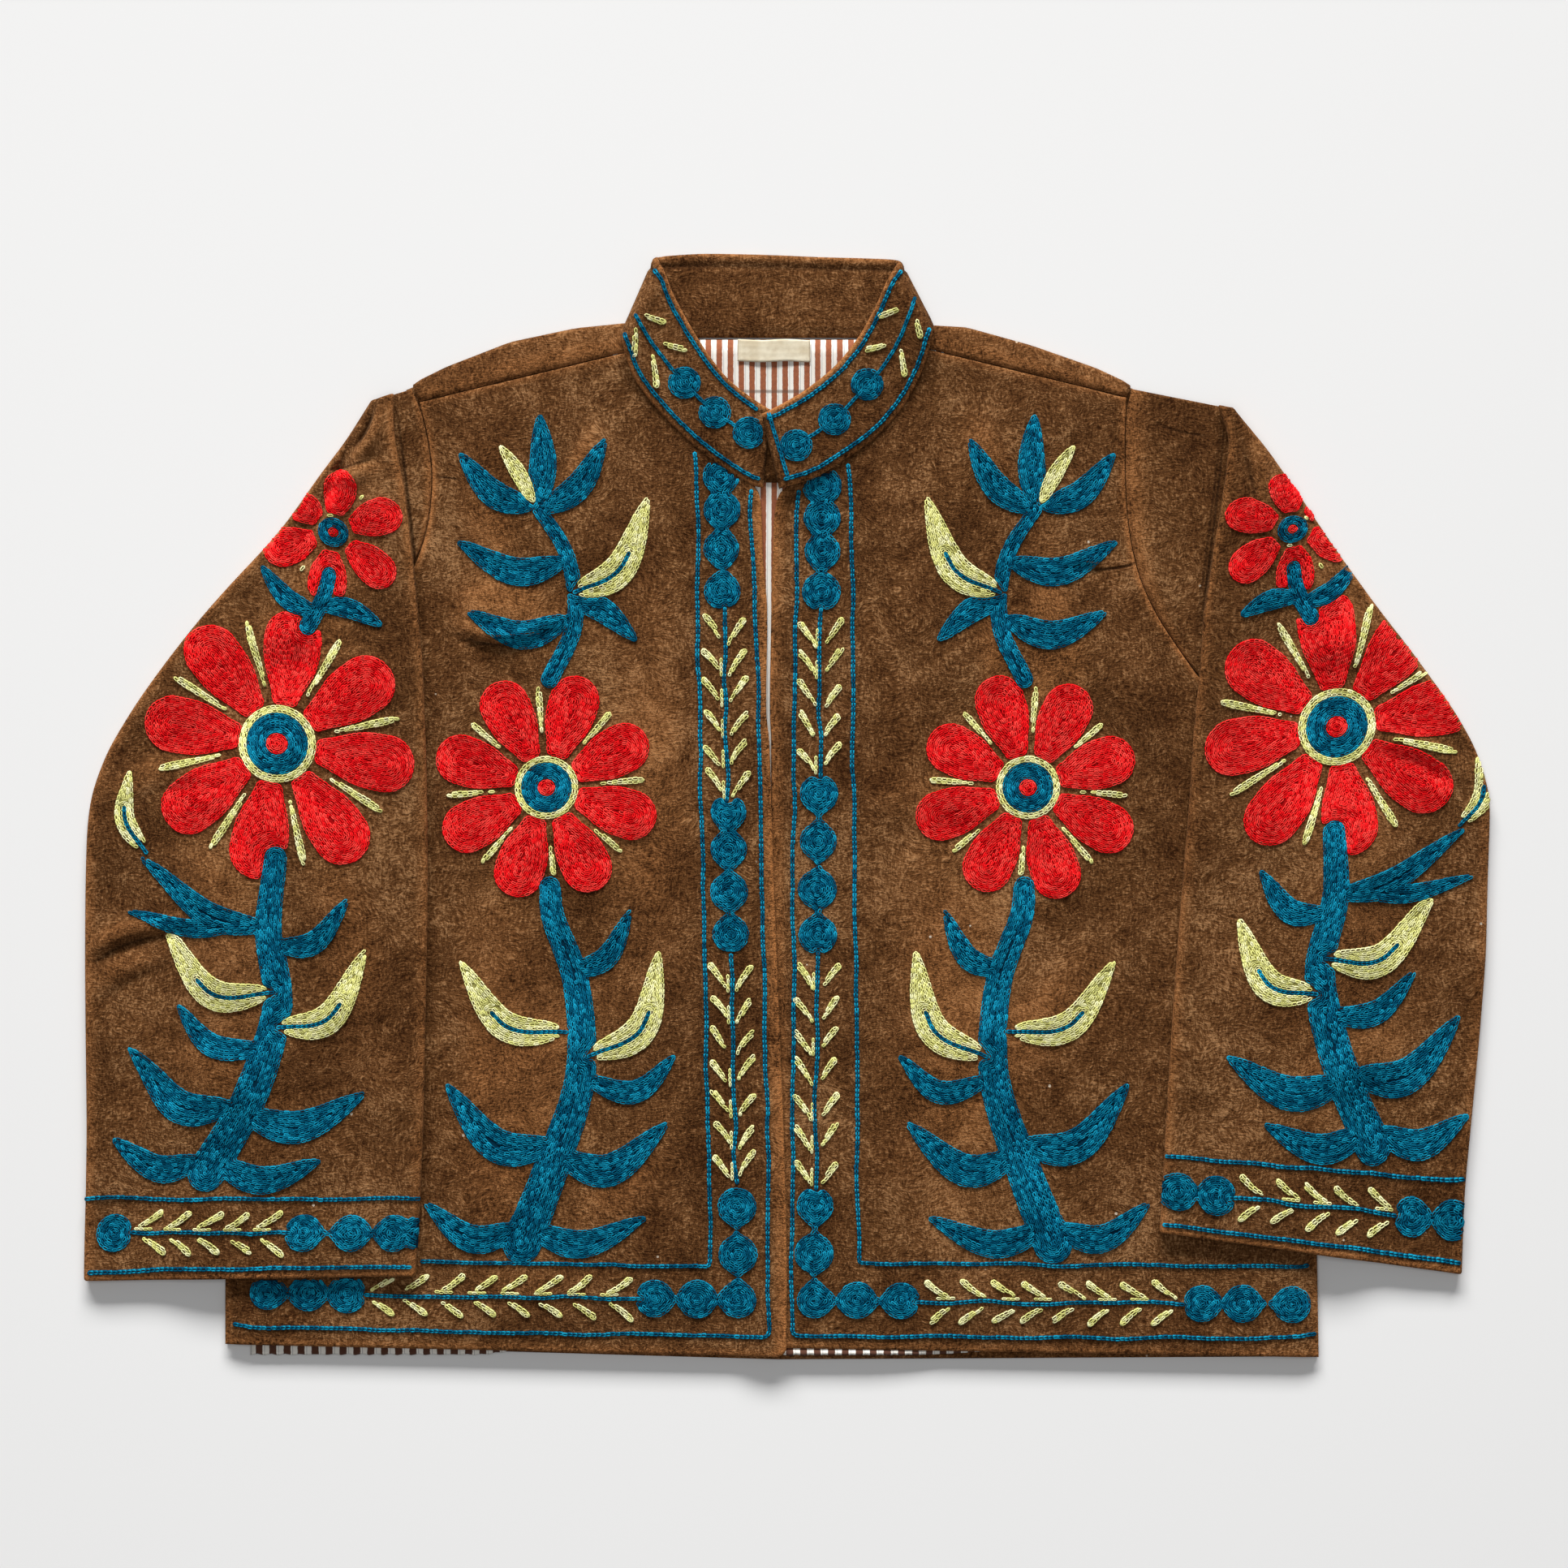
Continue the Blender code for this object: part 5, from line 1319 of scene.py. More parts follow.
def contours(field, level):
    """Closed lines on which a raster has one value, as (column, row) points.

    An edge between two neighbours on different sides of the value is crossed once, at the place that
    straight blending gives, and each cell joins the crossings on its edges in pairs.
    """
    above = field > level
    corner = above[:-1, :-1]
    mixed = (corner != above[:-1, 1:]) | (corner != above[1:, :-1]) | (corner != above[1:, 1:])
    joined = {}
    for i, j in np.argwhere(mixed).tolist():
        edges = []
        if above[i, j] != above[i, j + 1]:
            edges.append((i, j, 0))
        if above[i, j] != above[i + 1, j]:
            edges.append((i, j, 1))
        if above[i + 1, j] != above[i + 1, j + 1]:
            edges.append((i + 1, j, 0))
        if above[i, j + 1] != above[i + 1, j + 1]:
            edges.append((i, j + 1, 1))
        for first, second in zip(edges[::2], edges[1::2]):
            joined.setdefault(first, []).append(second)
            joined.setdefault(second, []).append(first)
    seen = set()
    for start in joined:
        if start in seen:
            continue
        ahead = [start]
        path = []
        while ahead:
            path.append(ahead[0])
            seen.add(ahead[0])
            ahead = [edge for edge in joined[ahead[0]] if edge not in seen]
        i, j, upright = np.array(path).T
        low = field[i, j]
        high = field[i + upright, j + 1 - upright]
        share = (level - low) / (high - low)
        yield np.column_stack([j + share * (1 - upright), i + share * upright])


class Pattern:
    """The forms of one panel: for each yarn how far inside its forms each place of a raster is, and
    single rows of links. A later form is cut out of earlier ones."""

    def __init__(self, low, high, seed):
        self.u = np.arange(low[0], high[0], RASTER)
        self.v = np.arange(low[1], high[1], RASTER)
        self.inside = {yarn: np.full((len(self.v), len(self.u)), -1.0) for yarn in YARNS}
        self.lines = []
        self.random = np.random.default_rng(seed)

    def fill(self, yarn, points):
        """A stroke through points of (u, v, half width): inside it the depth is the half width less
        the distance to its middle line."""
        line = smooth_line(points)
        reach = line[:, 2].max() + 2 * ROW
        low = line[:, :2].min(axis=0) - reach
        high = line[:, :2].max(axis=0) + reach
        columns = slice(*np.searchsorted(self.u, (low[0], high[0])))
        rows = slice(*np.searchsorted(self.v, (low[1], high[1])))
        u, v = np.meshgrid(self.u[columns], self.v[rows])
        depth = np.full(u.shape, -1.0)
        for start, end in zip(line[:-1], line[1:]):
            along = end - start
            share = (u - start[0]) * along[0] + (v - start[1]) * along[1]
            share = np.clip(share / (along[0] ** 2 + along[1] ** 2), 0, 1)
            away = np.hypot(u - start[0] - share * along[0], v - start[1] - share * along[1])
            depth = np.maximum(depth, start[2] + share * along[2] - away)
        for name, field in self.inside.items():
            part = field[rows, columns]
            if name == yarn:
                np.maximum(part, depth, out=part)
            else:
                np.minimum(part, -depth, out=part)

    def disc(self, yarn, place, radius):
        u, v = place
        self.fill(yarn, [(u - 0.0002, v, radius), (u + 0.0002, v, radius)])

    def row(self, yarn, points, half=LINE_HALF, smooth=True, cut=True):
        """A single row of links, and the gap that it needs in the forms under it."""
        line = smooth_line(points) if smooth else np.array(points)
        self.lines.append((yarn, line, half))
        if cut:
            self.fill(None, [(u, v, half - 0.0002) for u, v in points])

    def leaf(self, yarn, base, middle, tip, half, vein=None):
        """An almond-shaped leaf on a curve through three places, and a row up its middle as a vein."""
        curve = smooth_line([base, middle, tip])
        share = np.linspace(0, 1, len(curve))
        width = half * np.sin(np.pi * share ** 0.85) ** 0.8 + 0.0006
        self.fill(yarn, np.column_stack([curve, width])[::2])
        if vein:
            self.row(vein, curve[:12:2])

    def swaying_row(self, places):
        """A single row of blue links that strays a little from its places."""
        sway = softened(self.random.normal(0, LINE_SWAY, (len(places), 2)), 8)
        self.row("blue", np.array(places) + sway, smooth=False, cut=False)

    def links(self):
        """Starts, steps and half widths of every link, by yarn.

        Single rows are placed first. Then each form is filled with rows along the lines of equal depth
        inside it, and narrower rows fill the room between them. A link of a form is left out where
        another lies already, which is kept on a raster twice as fine as the forms' own.
        """
        fine = RASTER / 2
        taken = np.zeros((2 * len(self.v) + 8, 2 * len(self.u) + 8), dtype=bool)
        found = {yarn: [] for yarn in YARNS}
        spread = np.arange(-2, 3)

        def place(yarn, path, half, crowded):
            lengths = np.concatenate([[0], np.cumsum(np.linalg.norm(np.diff(path, axis=0), axis=1))])
            count = max(1, int(round(lengths[-1] / (LINK if crowded else LINE_LINK))))
            at = np.linspace(0, lengths[-1], count + 1)
            ends = np.column_stack([np.interp(at, lengths, column) for column in path.T])
            shares = np.linspace(0.2, 0.8, 5)[None, :, None]
            spots = ends[:-1, None] + shares * np.diff(ends, axis=0)[:, None]
            cells = ((spots - (self.u[0], self.v[0])) / fine).round().astype(int) + 3
            cells = np.clip(cells, 2, (taken.shape[1] - 3, taken.shape[0] - 3))
            for start, end, spot in zip(ends[:-1], ends[1:], cells):
                if crowded and taken[spot[2, 1], spot[2, 0]]:
                    continue
                found[yarn].append((*start, *(end - start), half))
                rows = (spot[:, 1, None] + spread)[:, :, None]
                columns = (spot[:, 0, None] + spread)[:, None, :]
                taken[rows, columns] = True

        for yarn, line, half in self.lines:
            place(yarn, line, half, False)
        for yarn, field in self.inside.items():
            deepest = field.max() / ROW
            main = [(level * ROW, ROW_HALF) for level in np.arange(0.5, deepest)]
            between = [(level * ROW, FILLER_HALF) for level in np.arange(0.95, deepest, 0.5)]
            for level, half in main + between:
                for loop in contours(field, level):
                    if len(loop) < 5:
                        continue
                    path = np.vstack([loop, loop[:1]]) * RASTER + (self.u[0], self.v[0])
                    place(yarn, path, half, True)
        return {yarn: np.array(rows) for yarn, rows in found.items() if rows}


def yarn_finish(name, yarn):
    """Cotton yarn with fine fibres, each link of a form its own tone. Painted shade lies low down
    between the links and on the pads, and the beads of a single row are a painted highlight and a
    painted shade.
    """
    finish = Finish(name)
    dark, middle, pale = YARNS[yarn]
    place = finish.place()
    fibres = finish.noise(place, 2600.0, 2.0, 0.6)
    fade = finish.noise(place, 55.0, 3.0, 0.6)
    shade = finish.attribute("shade") * 0.72 + fade * 0.28 + fibres * 0.25
    colour = finish.mix(shade.between(0.42, 0.98), middle, pale)
    # Painted shade: the yarn is painted dark where it lies low, between the links and on the pads.
    low = 1.0 - finish.attribute("depth").between(0.0, 0.64)
    colour = finish.mix(low * 0.90, colour, dark)
    # Darker where the shade is low: for a form a random tone for each link, for a single row the
    # painted shade of each link's far half.
    colour = finish.mix((1.0 - shade.between(0.15, 0.50)) * 0.45, colour, dark)
    relief = finish.bump(fibres, 0.0002, 0.6)
    return finish.dressed(colour, relief, {"Roughness": 0.85, "Specular IOR Level": 0.05})


yarn_looks = {yarn: yarn_finish(yarn + " cotton yarn", yarn) for yarn in YARNS}
LinkStation = namedtuple("LinkStation", "forward sideways crest end")
LINK_STATIONS = [
    LinkStation(0.00, 0.0, 0.50, -1.0),
    LinkStation(0.20, 1.0, 0.88, -0.5),
    LinkStation(0.84, 1.0, 1.00, 0.5),
    LinkStation(1.10, 0.0, 0.84, 1.0),
    LinkStation(0.84, -1.0, 1.00, 0.5),
    LinkStation(0.20, -1.0, 0.88, -0.5),
]
LINK_SECTION = np.array([1.0, 0.0, -0.9])
SECTION_HEIGHTS = np.array([0.10, 1.0, 0.10])
LINK_CORNERS = len(LINK_STATIONS) * len(LINK_SECTION)


def laid_links(links, ground, seen, random):
    """Points, faces, shades and depths of links in one yarn.

    A link is a ring round an oval, with a roof-shaped section that is open where it lies on the cloth:
    at each station a point on the outer side, one on the crest and one on the inner side. The depth is
    1 on the crest and 0 at the cloth, and the finish paints the yarn dark where it is low, as painted
    shade. In a single row the near half of a link gets a painted highlight and the far half a painted
    shade, so that the row looks beaded, and in a form each link has one shade of its own.
    """
    forward, sideways, crests, ends = np.array(LINK_STATIONS).T[:, None, :, None, None]
    count = len(links)
    start = links[:, None, None, :2] + random.normal(0, LINK_STRAY, (count, 1, 1, 2))
    step = links[:, None, None, 2:4]
    length = np.linalg.norm(step, axis=-1, keepdims=True)
    along = step / length
    beside = np.concatenate([-along[..., 1:], along[..., :1]], axis=-1)
    half = links[:, None, None, 4:5] * random.uniform(0.93, 1.07, (count, 1, 1, 1))
    yarn_half = YARN * np.where(half > SINGLE_ROW, LINE_YARN, 1.0)
    reach = LINK_SECTION[None, None, :, None] * yarn_half
    flat = start + along * (length * forward + ends * reach)
    flat = flat + beside * sideways * (half - yarn_half + reach)
    tall = crests[..., 0] * random.uniform(0.90, 1.10, (count, 1, 1))
    height = YARN_HEIGHT * np.where(SECTION_HEIGHTS == 1.0, tall, SECTION_HEIGHTS)
    height = height * np.minimum(1.0, half[..., 0] / FULL_HEIGHT_HALF)
    points, normals = ground.at(flat[..., 0], flat[..., 1], height)
    shown = np.isfinite(points).all(axis=(1, 2, 3)) & seen(points, normals).all(axis=(1, 2))
    points = points[shown]
    count = len(points)
    number = np.arange(count * LINK_CORNERS).reshape(points.shape[:3])
    onward = np.roll(number, -1, axis=1)
    corners = (number[..., :2], onward[..., :2], onward[..., 1:], number[..., 1:])
    faces = np.stack(corners, axis=-1).reshape(-1, 4)
    # Painted highlight on the near half of each link in a single row, painted shade on the far half.
    painted_bead_light = np.where(forward[..., 0] < 0.5, 0.85, -0.10) + random.normal(0, 0.38, (count, 1, 1))
    single = (links[shown, 4] > SINGLE_ROW)[:, None, None]
    shades = np.where(single, painted_bead_light, random.uniform(0, 1, (count, 1, 1))) + np.zeros((1, 1, 3))
    depths = np.tile(np.array([0.0, 1.0, 0.0]), count * len(LINK_STATIONS))
    return points.reshape(-1, 3), faces, np.clip(shades, 0, 1.3).ravel(), depths


def laid_pad(field, pattern, ground, seen):
    """Points and faces of the pad under a form's links: the raster's cells that lie well inside it. Its
    depth of 0 has the finish paint it as shade between the links.
    """
    u, v = np.meshgrid(pattern.u[::2], pattern.v[::2])
    pad, normals = ground.at(u, v, np.full(u.shape, PAD_HEIGHT))
    good = (field[::2, ::2] > PAD_INSET) & np.isfinite(pad).all(axis=2) & seen(pad, normals)
    cells = good[:-1, :-1] & good[:-1, 1:] & good[1:, 1:] & good[1:, :-1]
    grid = np.arange(u.size).reshape(u.shape)
    faces = np.stack([grid[:-1, :-1], grid[:-1, 1:], grid[1:, 1:], grid[1:, :-1]], axis=-1)[cells]
    used, faces = np.unique(faces, return_inverse=True)
    return pad.reshape(-1, 3)[used], faces.reshape(-1, 4)


def stitch_meshes(panel, pattern, ground, seen, seed):
    """The links and pads of a panel, one mesh for each yarn, where seen says that they show."""
    random = np.random.default_rng(seed)
    pieces = []
    for yarn, links in pattern.links().items():
        points, faces, shades, depths = laid_links(links, ground, seen, random)
        pad, pad_faces = laid_pad(pattern.inside[yarn], pattern, ground, seen)
        if ground.side > 0:
            faces = faces[:, ::-1]
        else:
            pad_faces = pad_faces[:, ::-1]
        attributes = {
            # The pad has depth 0, so the finish paints it in the yarn's dark as painted shade between
            # the links.
            "shade": np.concatenate([shades, np.full(len(pad), PAD_SHADE)]),
            "depth": np.concatenate([depths, np.zeros(len(pad))]),
        }
        every_point = np.concatenate([points, pad])
        every_face = np.concatenate([faces, pad_faces + len(points)])
        piece = build_mesh(panel + "_" + yarn + "_stitches", every_point, every_face, attributes)
        piece.data.materials.append(yarn_looks[yarn])
        pieces.append(piece)
    return pieces


class Run:
    """Places at a distance along the middle line of a border and to one side of it."""

    def __init__(self, points):
        self.points = np.array(points)
        steps = np.diff(self.points, axis=0)
        self.lengths = np.concatenate([[0], np.cumsum(np.linalg.norm(steps, axis=1))])
        self.along = steps / np.linalg.norm(steps, axis=1)[:, None]

    def at(self, distance, side=0.0):
        index = int(np.clip(np.searchsorted(self.lengths, distance) - 1, 0, len(self.along) - 1))
        along = self.along[index]
        place = self.points[index] + along * (distance - self.lengths[index])
        return tuple(place + side * np.array([-along[1], along[0]]))


def border(pattern, run, discs, vines, lean=-1):
    """Discs drawn out to points where they meet, and vines whose paired leaflets lean along the run."""
    random = pattern.random
    for distance in discs:
        jog = random.uniform(-0.0005, 0.0005)
        pattern.disc("blue", run.at(distance, jog), DISC + random.uniform(-0.0007, 0.0004))
    for first, second in zip(discs[:-1], discs[1:]):
        if second - first < 3 * DISC:
            middle = (first + second) / 2
            for centre in (first, second):
                towards = DISC if centre == first else -DISC
                stops = [centre + towards * share for share in POINT_SHARES] + [middle]
                pattern.fill("blue", [(*run.at(stop), half) for stop, half in zip(stops, POINT_HALVES)])
    for low, high in vines:
        distances = np.linspace(low - VINE_OVERLAP, high + VINE_OVERLAP, 9)
        sway = random.uniform(-0.0010, 0.0010, 9)
        pattern.row("blue", [run.at(d, s) for d, s in zip(distances, sway)])
        count = int((high - low + 2 * VINE_OVERLAP) / LEAFLET_SPACING)
        beside = random.choice([-1, 1])
        for middle in low + (np.arange(count) + 0.62) * (high - low) / count:
            for side in (-1, 1):
                base = middle - lean * 0.007 + random.uniform(-0.0020, 0.0020)
                long = random.uniform(0.0125, 0.0152)
                wide = random.uniform(0.0090, 0.0112)
                bend = wide * random.uniform(0.36, 0.52)
                places = [
                    run.at(base - lean * 0.0018, side * 0.0012),
                    run.at(base + lean * long * 0.50, side * (0.0015 + bend)),
                    run.at(base + lean * long, side * (0.0010 + wide)),
                ]
                pattern.fill("lime", [(*place, half) for place, half in zip(places, LEAFLET_HALVES)])
            if random.random() < STRAND_CHANCE:
                start = middle - lean * 0.008
                strand = [run.at(start + lean * step, beside * 0.0020) for step in (0.0, 0.005, 0.010)]
                pattern.row("lime", strand, STRAND_HALF, cut=False)


# In a petal and a ray each place is a distance from the flower's centre and a half width, and in a
# stem it is the two directions of the pattern and a half width.
Leaf = namedtuple("Leaf", "yarn base middle tip half vein")
PETAL = ((0.016, 0.0050), (0.028, 0.0090), (0.040, 0.0135), (0.050, 0.0142))
RAY = ((0.020, 0.0007), (0.036, 0.0014), (0.051, 0.0019), (0.058, 0.0009))
HEART = (("lime", 0.0180), ("blue", 0.0142), ("red", 0.0050))
FRONT_ROSETTE = (0.136, 0.012)
FRONT_STEMS = [
    [
        (0.150, -0.246, 0.0110), (0.134, -0.205, 0.0100), (0.117, -0.152, 0.0086),
        (0.119, -0.100, 0.0076), (0.132, -0.062, 0.0068), (0.134, -0.044, 0.0060),
    ],
    [(0.134, 0.073, 0.0052), (0.120, 0.105, 0.0048), (0.124, 0.142, 0.0044), (0.142, 0.172, 0.0038)],
]
FRONT_LEAVES = [
    Leaf("blue", (0.148, -0.236), (0.116, -0.246), (0.078, -0.230), 0.0076, None),
    Leaf("blue", (0.150, -0.236), (0.178, -0.243), (0.206, -0.222), 0.0076, None),
    Leaf("blue", (0.130, -0.196), (0.100, -0.204), (0.066, -0.176), 0.0088, None),
    Leaf("blue", (0.130, -0.190), (0.164, -0.190), (0.194, -0.154), 0.0092, None),
    Leaf("lime", (0.113, -0.140), (0.082, -0.124), (0.072, -0.078), 0.0084, "blue"),
    Leaf("lime", (0.124, -0.126), (0.160, -0.122), (0.186, -0.084), 0.0080, "blue"),
    Leaf("blue", (0.116, -0.152), (0.086, -0.160), (0.062, -0.138), 0.0062, None),
    Leaf("blue", (0.124, -0.092), (0.102, -0.084), (0.088, -0.056), 0.0060, None),
    Leaf("blue", (0.122, 0.108), (0.150, 0.098), (0.182, 0.112), 0.0076, None),
    Leaf("blue", (0.124, 0.140), (0.154, 0.134), (0.188, 0.152), 0.0076, None),
    Leaf("blue", (0.121, 0.118), (0.104, 0.112), (0.084, 0.094), 0.0066, None),
    Leaf("lime", (0.121, 0.122), (0.094, 0.136), (0.078, 0.178), 0.0084, "blue"),
    Leaf("blue", (0.140, 0.168), (0.118, 0.182), (0.102, 0.210), 0.0072, None),
    Leaf("blue", (0.142, 0.170), (0.138, 0.194), (0.140, 0.224), 0.0074, None),
    Leaf("blue", (0.143, 0.170), (0.166, 0.178), (0.186, 0.202), 0.0072, None),
    Leaf("lime", (0.143, 0.172), (0.152, 0.190), (0.163, 0.206), 0.0040, None),
]


def rosette(pattern, centre, petals, phase, size, fullness, pulls):
    """A flower of round petals with a thin ray between each two, and three discs at its heart. Each
    petal is drawn out by chance: as a whole for one pull, or each way by its own for two."""
    for index in range(petals):
        turn = 2 * math.pi * (index / petals + phase)
        pull = pattern.random.uniform(0.97, 1.04, pulls)
        across, up = np.array([math.cos(turn), math.sin(turn)]) * size * pull
        petal = [(centre[0] + across * r, centre[1] + up * r, w * fullness) for r, w in PETAL]
        pattern.fill("red", petal)
        turn = turn + math.pi / petals
        across = math.cos(turn) * size
        up = math.sin(turn) * size
        ray = [(centre[0] + across * r, centre[1] + up * r, w * size) for r, w in RAY]
        pattern.fill("lime", ray)
    for yarn, radius in HEART:
        pattern.disc(yarn, centre, radius * size)


def stems_and_leaves(pattern, stems, leaves, at):
    """Stems of blue yarn and the leaves on them, each place put where the function at() has it."""
    for stem in stems:
        pattern.fill("blue", [(*at(u, v), half) for u, v, half in stem])
    for leaf in leaves:
        pattern.leaf(leaf.yarn, at(*leaf.base), at(*leaf.middle), at(*leaf.tip), leaf.half, leaf.vein)


def as_drawn(u, v):
    """A place of the motif, kept as it is in the tables."""
    return u, v


def showing(low_z):
    """Whether a place faces up enough to show and lies above a height."""
    def seen(points, normals):
        return (normals[..., 2] > 0.1) & (points[..., 2] > low_z)
    return seen


FrontBorder = namedtuple("FrontBorder", "sign middle inner outer discs vines sleeve_edge cuff seed")
FRONT_BORDERS = {
    "front_right": FrontBorder(
        -1,
        [(0.0377, 0.190), (0.0276, -0.2776), (0.3128, -0.2735)],
        [
            (0.0207, 0.1800), (0.0160, 0.0500), (0.0118, -0.1500),
            (0.0101, -0.2985), (0.1600, -0.2965), (0.3140, -0.2925),
        ],
        [
            (0.0515, 0.2010), (0.0500, 0.0900), (0.0455, -0.1500),
            (0.0437, -0.2585), (0.1600, -0.2572), (0.3140, -0.2535),
        ],
        [
            0.002, 0.021, 0.043, 0.067, 0.192, 0.213, 0.237, 0.261,
            0.415, 0.442, 0.468, 0.491, 0.515, 0.689, 0.711, 0.734,
        ],
        [(0.079, 0.183), (0.275, 0.399), (0.526, 0.676)],
        SLEEVE_OVER_RIGHT,
        RIGHT_SLEEVE[-1],
        31,
    ),
    "front_left": FrontBorder(
        1,
        [(0.0198, 0.1856), (0.0152, -0.2781), (0.2990, -0.2800)],
        [
            (0.0055, 0.1790), (0.0040, 0.0500), (0.0030, -0.1500),
            (0.0023, -0.2975), (0.1500, -0.2990), (0.2980, -0.3000),
        ],
        [
            (0.0359, 0.1960), (0.0370, 0.0900), (0.0395, -0.1500),
            (0.0405, -0.2560), (0.1500, -0.2575), (0.2980, -0.2590),
        ],
        [
            0.003, 0.021, 0.040, 0.063, 0.177, 0.204, 0.231, 0.257,
            0.410, 0.437, 0.464, 0.488, 0.513, 0.683, 0.706, 0.734,
        ],
        [(0.075, 0.165), (0.269, 0.398), (0.524, 0.670)],
        SLEEVE_OVER_LEFT,
        LEFT_SLEEVE[-1],
        32,
    ),
}
SEEN_GAP = 0.0006
CUFF_GAP = 0.0008

embroidery = {}
for front_name, edge in FRONT_BORDERS.items():
    pattern = Pattern((0.0, -0.312), (0.320, 0.262), edge.seed)
    for line in (edge.inner, edge.outer):
        run = Run(line)
        pattern.swaying_row([run.at(distance) for distance in np.arange(0, run.lengths[-1], 0.004)])
    border(pattern, Run(edge.middle), edge.discs, edge.vines)
    rosette(pattern, FRONT_ROSETTE, 8, 0.05, 1.0, 1.0, 1)
    stems_and_leaves(pattern, FRONT_STEMS, FRONT_LEAVES, as_drawn)

    def seen(points, normals, edge=edge):
        """Clear of the sleeve that lies on the front, or below its cuff."""
        out = edge.sign * (points[..., 0] + CENTRE[0])
        y = points[..., 1] + CENTRE[1]
        cuff = edge.cuff
        cuff_y = np.interp(out, (cuff.fold, cuff.edge), (cuff.inner_y, cuff.outer_y))
        clear = out < np.interp(y, *zip(*edge.sleeve_edge)) - SEEN_GAP
        return clear | (y < cuff_y - CUFF_GAP)

    front = front_pieces[front_name]
    ground = ground_from_above(front, (-0.020, -0.320), (0.330, 0.270), edge.sign)
    embroidery[front_name] = stitch_meshes(front_name, pattern, ground, seen, edge.seed)


MOTIF_LOW = 0.054
SleeveRosette = namedtuple("SleeveRosette", "u v size petals phase")
SLEEVE_ROSETTES = [
    SleeveRosette(0.084, 0.300, 1.22, 8, 0.03),
    SleeveRosette(0.044, 0.420, 0.62, 6, 0.12),
]
SLEEVE_STEMS = [
    [
        (0.122, 0.058, 0.0108), (0.100, 0.098, 0.0098), (0.084, 0.150, 0.0086),
        (0.090, 0.195, 0.0076), (0.086, 0.236, 0.0064),
    ],
    [(0.064, 0.366, 0.0048), (0.054, 0.382, 0.0044), (0.049, 0.396, 0.0040)],
]
SLEEVE_LEAVES = [
    Leaf("blue", (0.120, 0.066), (0.090, 0.054), (0.056, 0.066), 0.0076, None),
    Leaf("blue", (0.124, 0.066), (0.150, 0.060), (0.178, 0.078), 0.0074, None),
    Leaf("blue", (0.104, 0.092), (0.070, 0.084), (0.032, 0.104), 0.0088, None),
    Leaf("blue", (0.106, 0.096), (0.140, 0.096), (0.170, 0.130), 0.0090, None),
    Leaf("lime", (0.084, 0.140), (0.054, 0.146), (0.034, 0.186), 0.0080, "blue"),
    Leaf("lime", (0.086, 0.160), (0.122, 0.160), (0.152, 0.200), 0.0082, "blue"),
    Leaf("blue", (0.088, 0.128), (0.120, 0.130), (0.142, 0.154), 0.0062, None),
    Leaf("blue", (0.087, 0.186), (0.064, 0.188), (0.044, 0.214), 0.0062, None),
    Leaf("blue", (0.090, 0.196), (0.124, 0.204), (0.166, 0.238), 0.0070, None),
    Leaf("blue", (0.098, 0.200), (0.134, 0.196), (0.174, 0.206), 0.0048, None),
    Leaf("blue", (0.058, 0.374), (0.074, 0.382), (0.088, 0.402), 0.0054, None),
    Leaf("blue", (0.056, 0.378), (0.038, 0.376), (0.020, 0.366), 0.0054, None),
    Leaf("lime", (0.160, 0.238), (0.172, 0.258), (0.168, 0.286), 0.0052, "blue"),
]
CUFF_ROWS = (0.0053, 0.0436)
CUFF_MIDDLE = 0.0245
PETAL_SLIMNESS = 0.94
CuffBorder = namedtuple("CuffBorder", "wide stretch slim discs vine seed")
CUFF_BORDERS = {
    "sleeve_right": CuffBorder(0.187, 1.0, 1.0, [0.0, 0.014, 0.038, 0.065, 0.173], (0.075, 0.160), 41),
    "sleeve_left": CuffBorder(0.172, 0.94, 0.97, [0.009, 0.031, 0.143, 0.166], (0.041, 0.131), 42),
}

for sleeve_name, cuff in CUFF_BORDERS.items():
    pattern = Pattern((-0.080, 0.004), (0.225, 0.505), cuff.seed)
    for height in CUFF_ROWS:
        pattern.swaying_row([(u, height) for u in np.arange(-0.006, cuff.wide + 0.006, 0.004)])
    border(pattern, Run([(0.0, CUFF_MIDDLE), (cuff.wide, CUFF_MIDDLE)]), cuff.discs, [cuff.vine])

    def on_sleeve(u, v, cuff=cuff):
        """A place of the motif, drawn in towards the fold and down towards the cuff."""
        return u * cuff.slim, MOTIF_LOW + (v - MOTIF_LOW) * cuff.stretch

    for u, v, size, petals, phase in SLEEVE_ROSETTES:
        fullness = size * 8 / petals * PETAL_SLIMNESS
        rosette(pattern, on_sleeve(u, v), petals, phase, size, fullness, 2)
    stems_and_leaves(pattern, SLEEVE_STEMS, SLEEVE_LEAVES, on_sleeve)
    ground = sleeve_ground(sleeve_name)
    embroidery[sleeve_name] = stitch_meshes(sleeve_name, pattern, ground, showing(0.0030), cuff.seed)


COLLAR_ROWS = (0.0042, 0.0398)
COLLAR_STEM_HALF = 0.00115
COLLAR_DISC = DISC - 0.0015
LEFT_END_EDGE = ((0.160, 0.1806, 0.2225), (-0.0045, -0.0045, -0.0146))


def clear_of_left_end(points, normals):
    """On the collar's right half, clear of the left end that lies over it."""
    x = points[..., 0] + CENTRE[0]
    return x < np.interp(points[..., 1] + CENTRE[1], *LEFT_END_EDGE) - SEEN_GAP


def anywhere(points, normals):
    """Everywhere that the panel has a surface."""
    return np.isfinite(points).all(axis=-1)


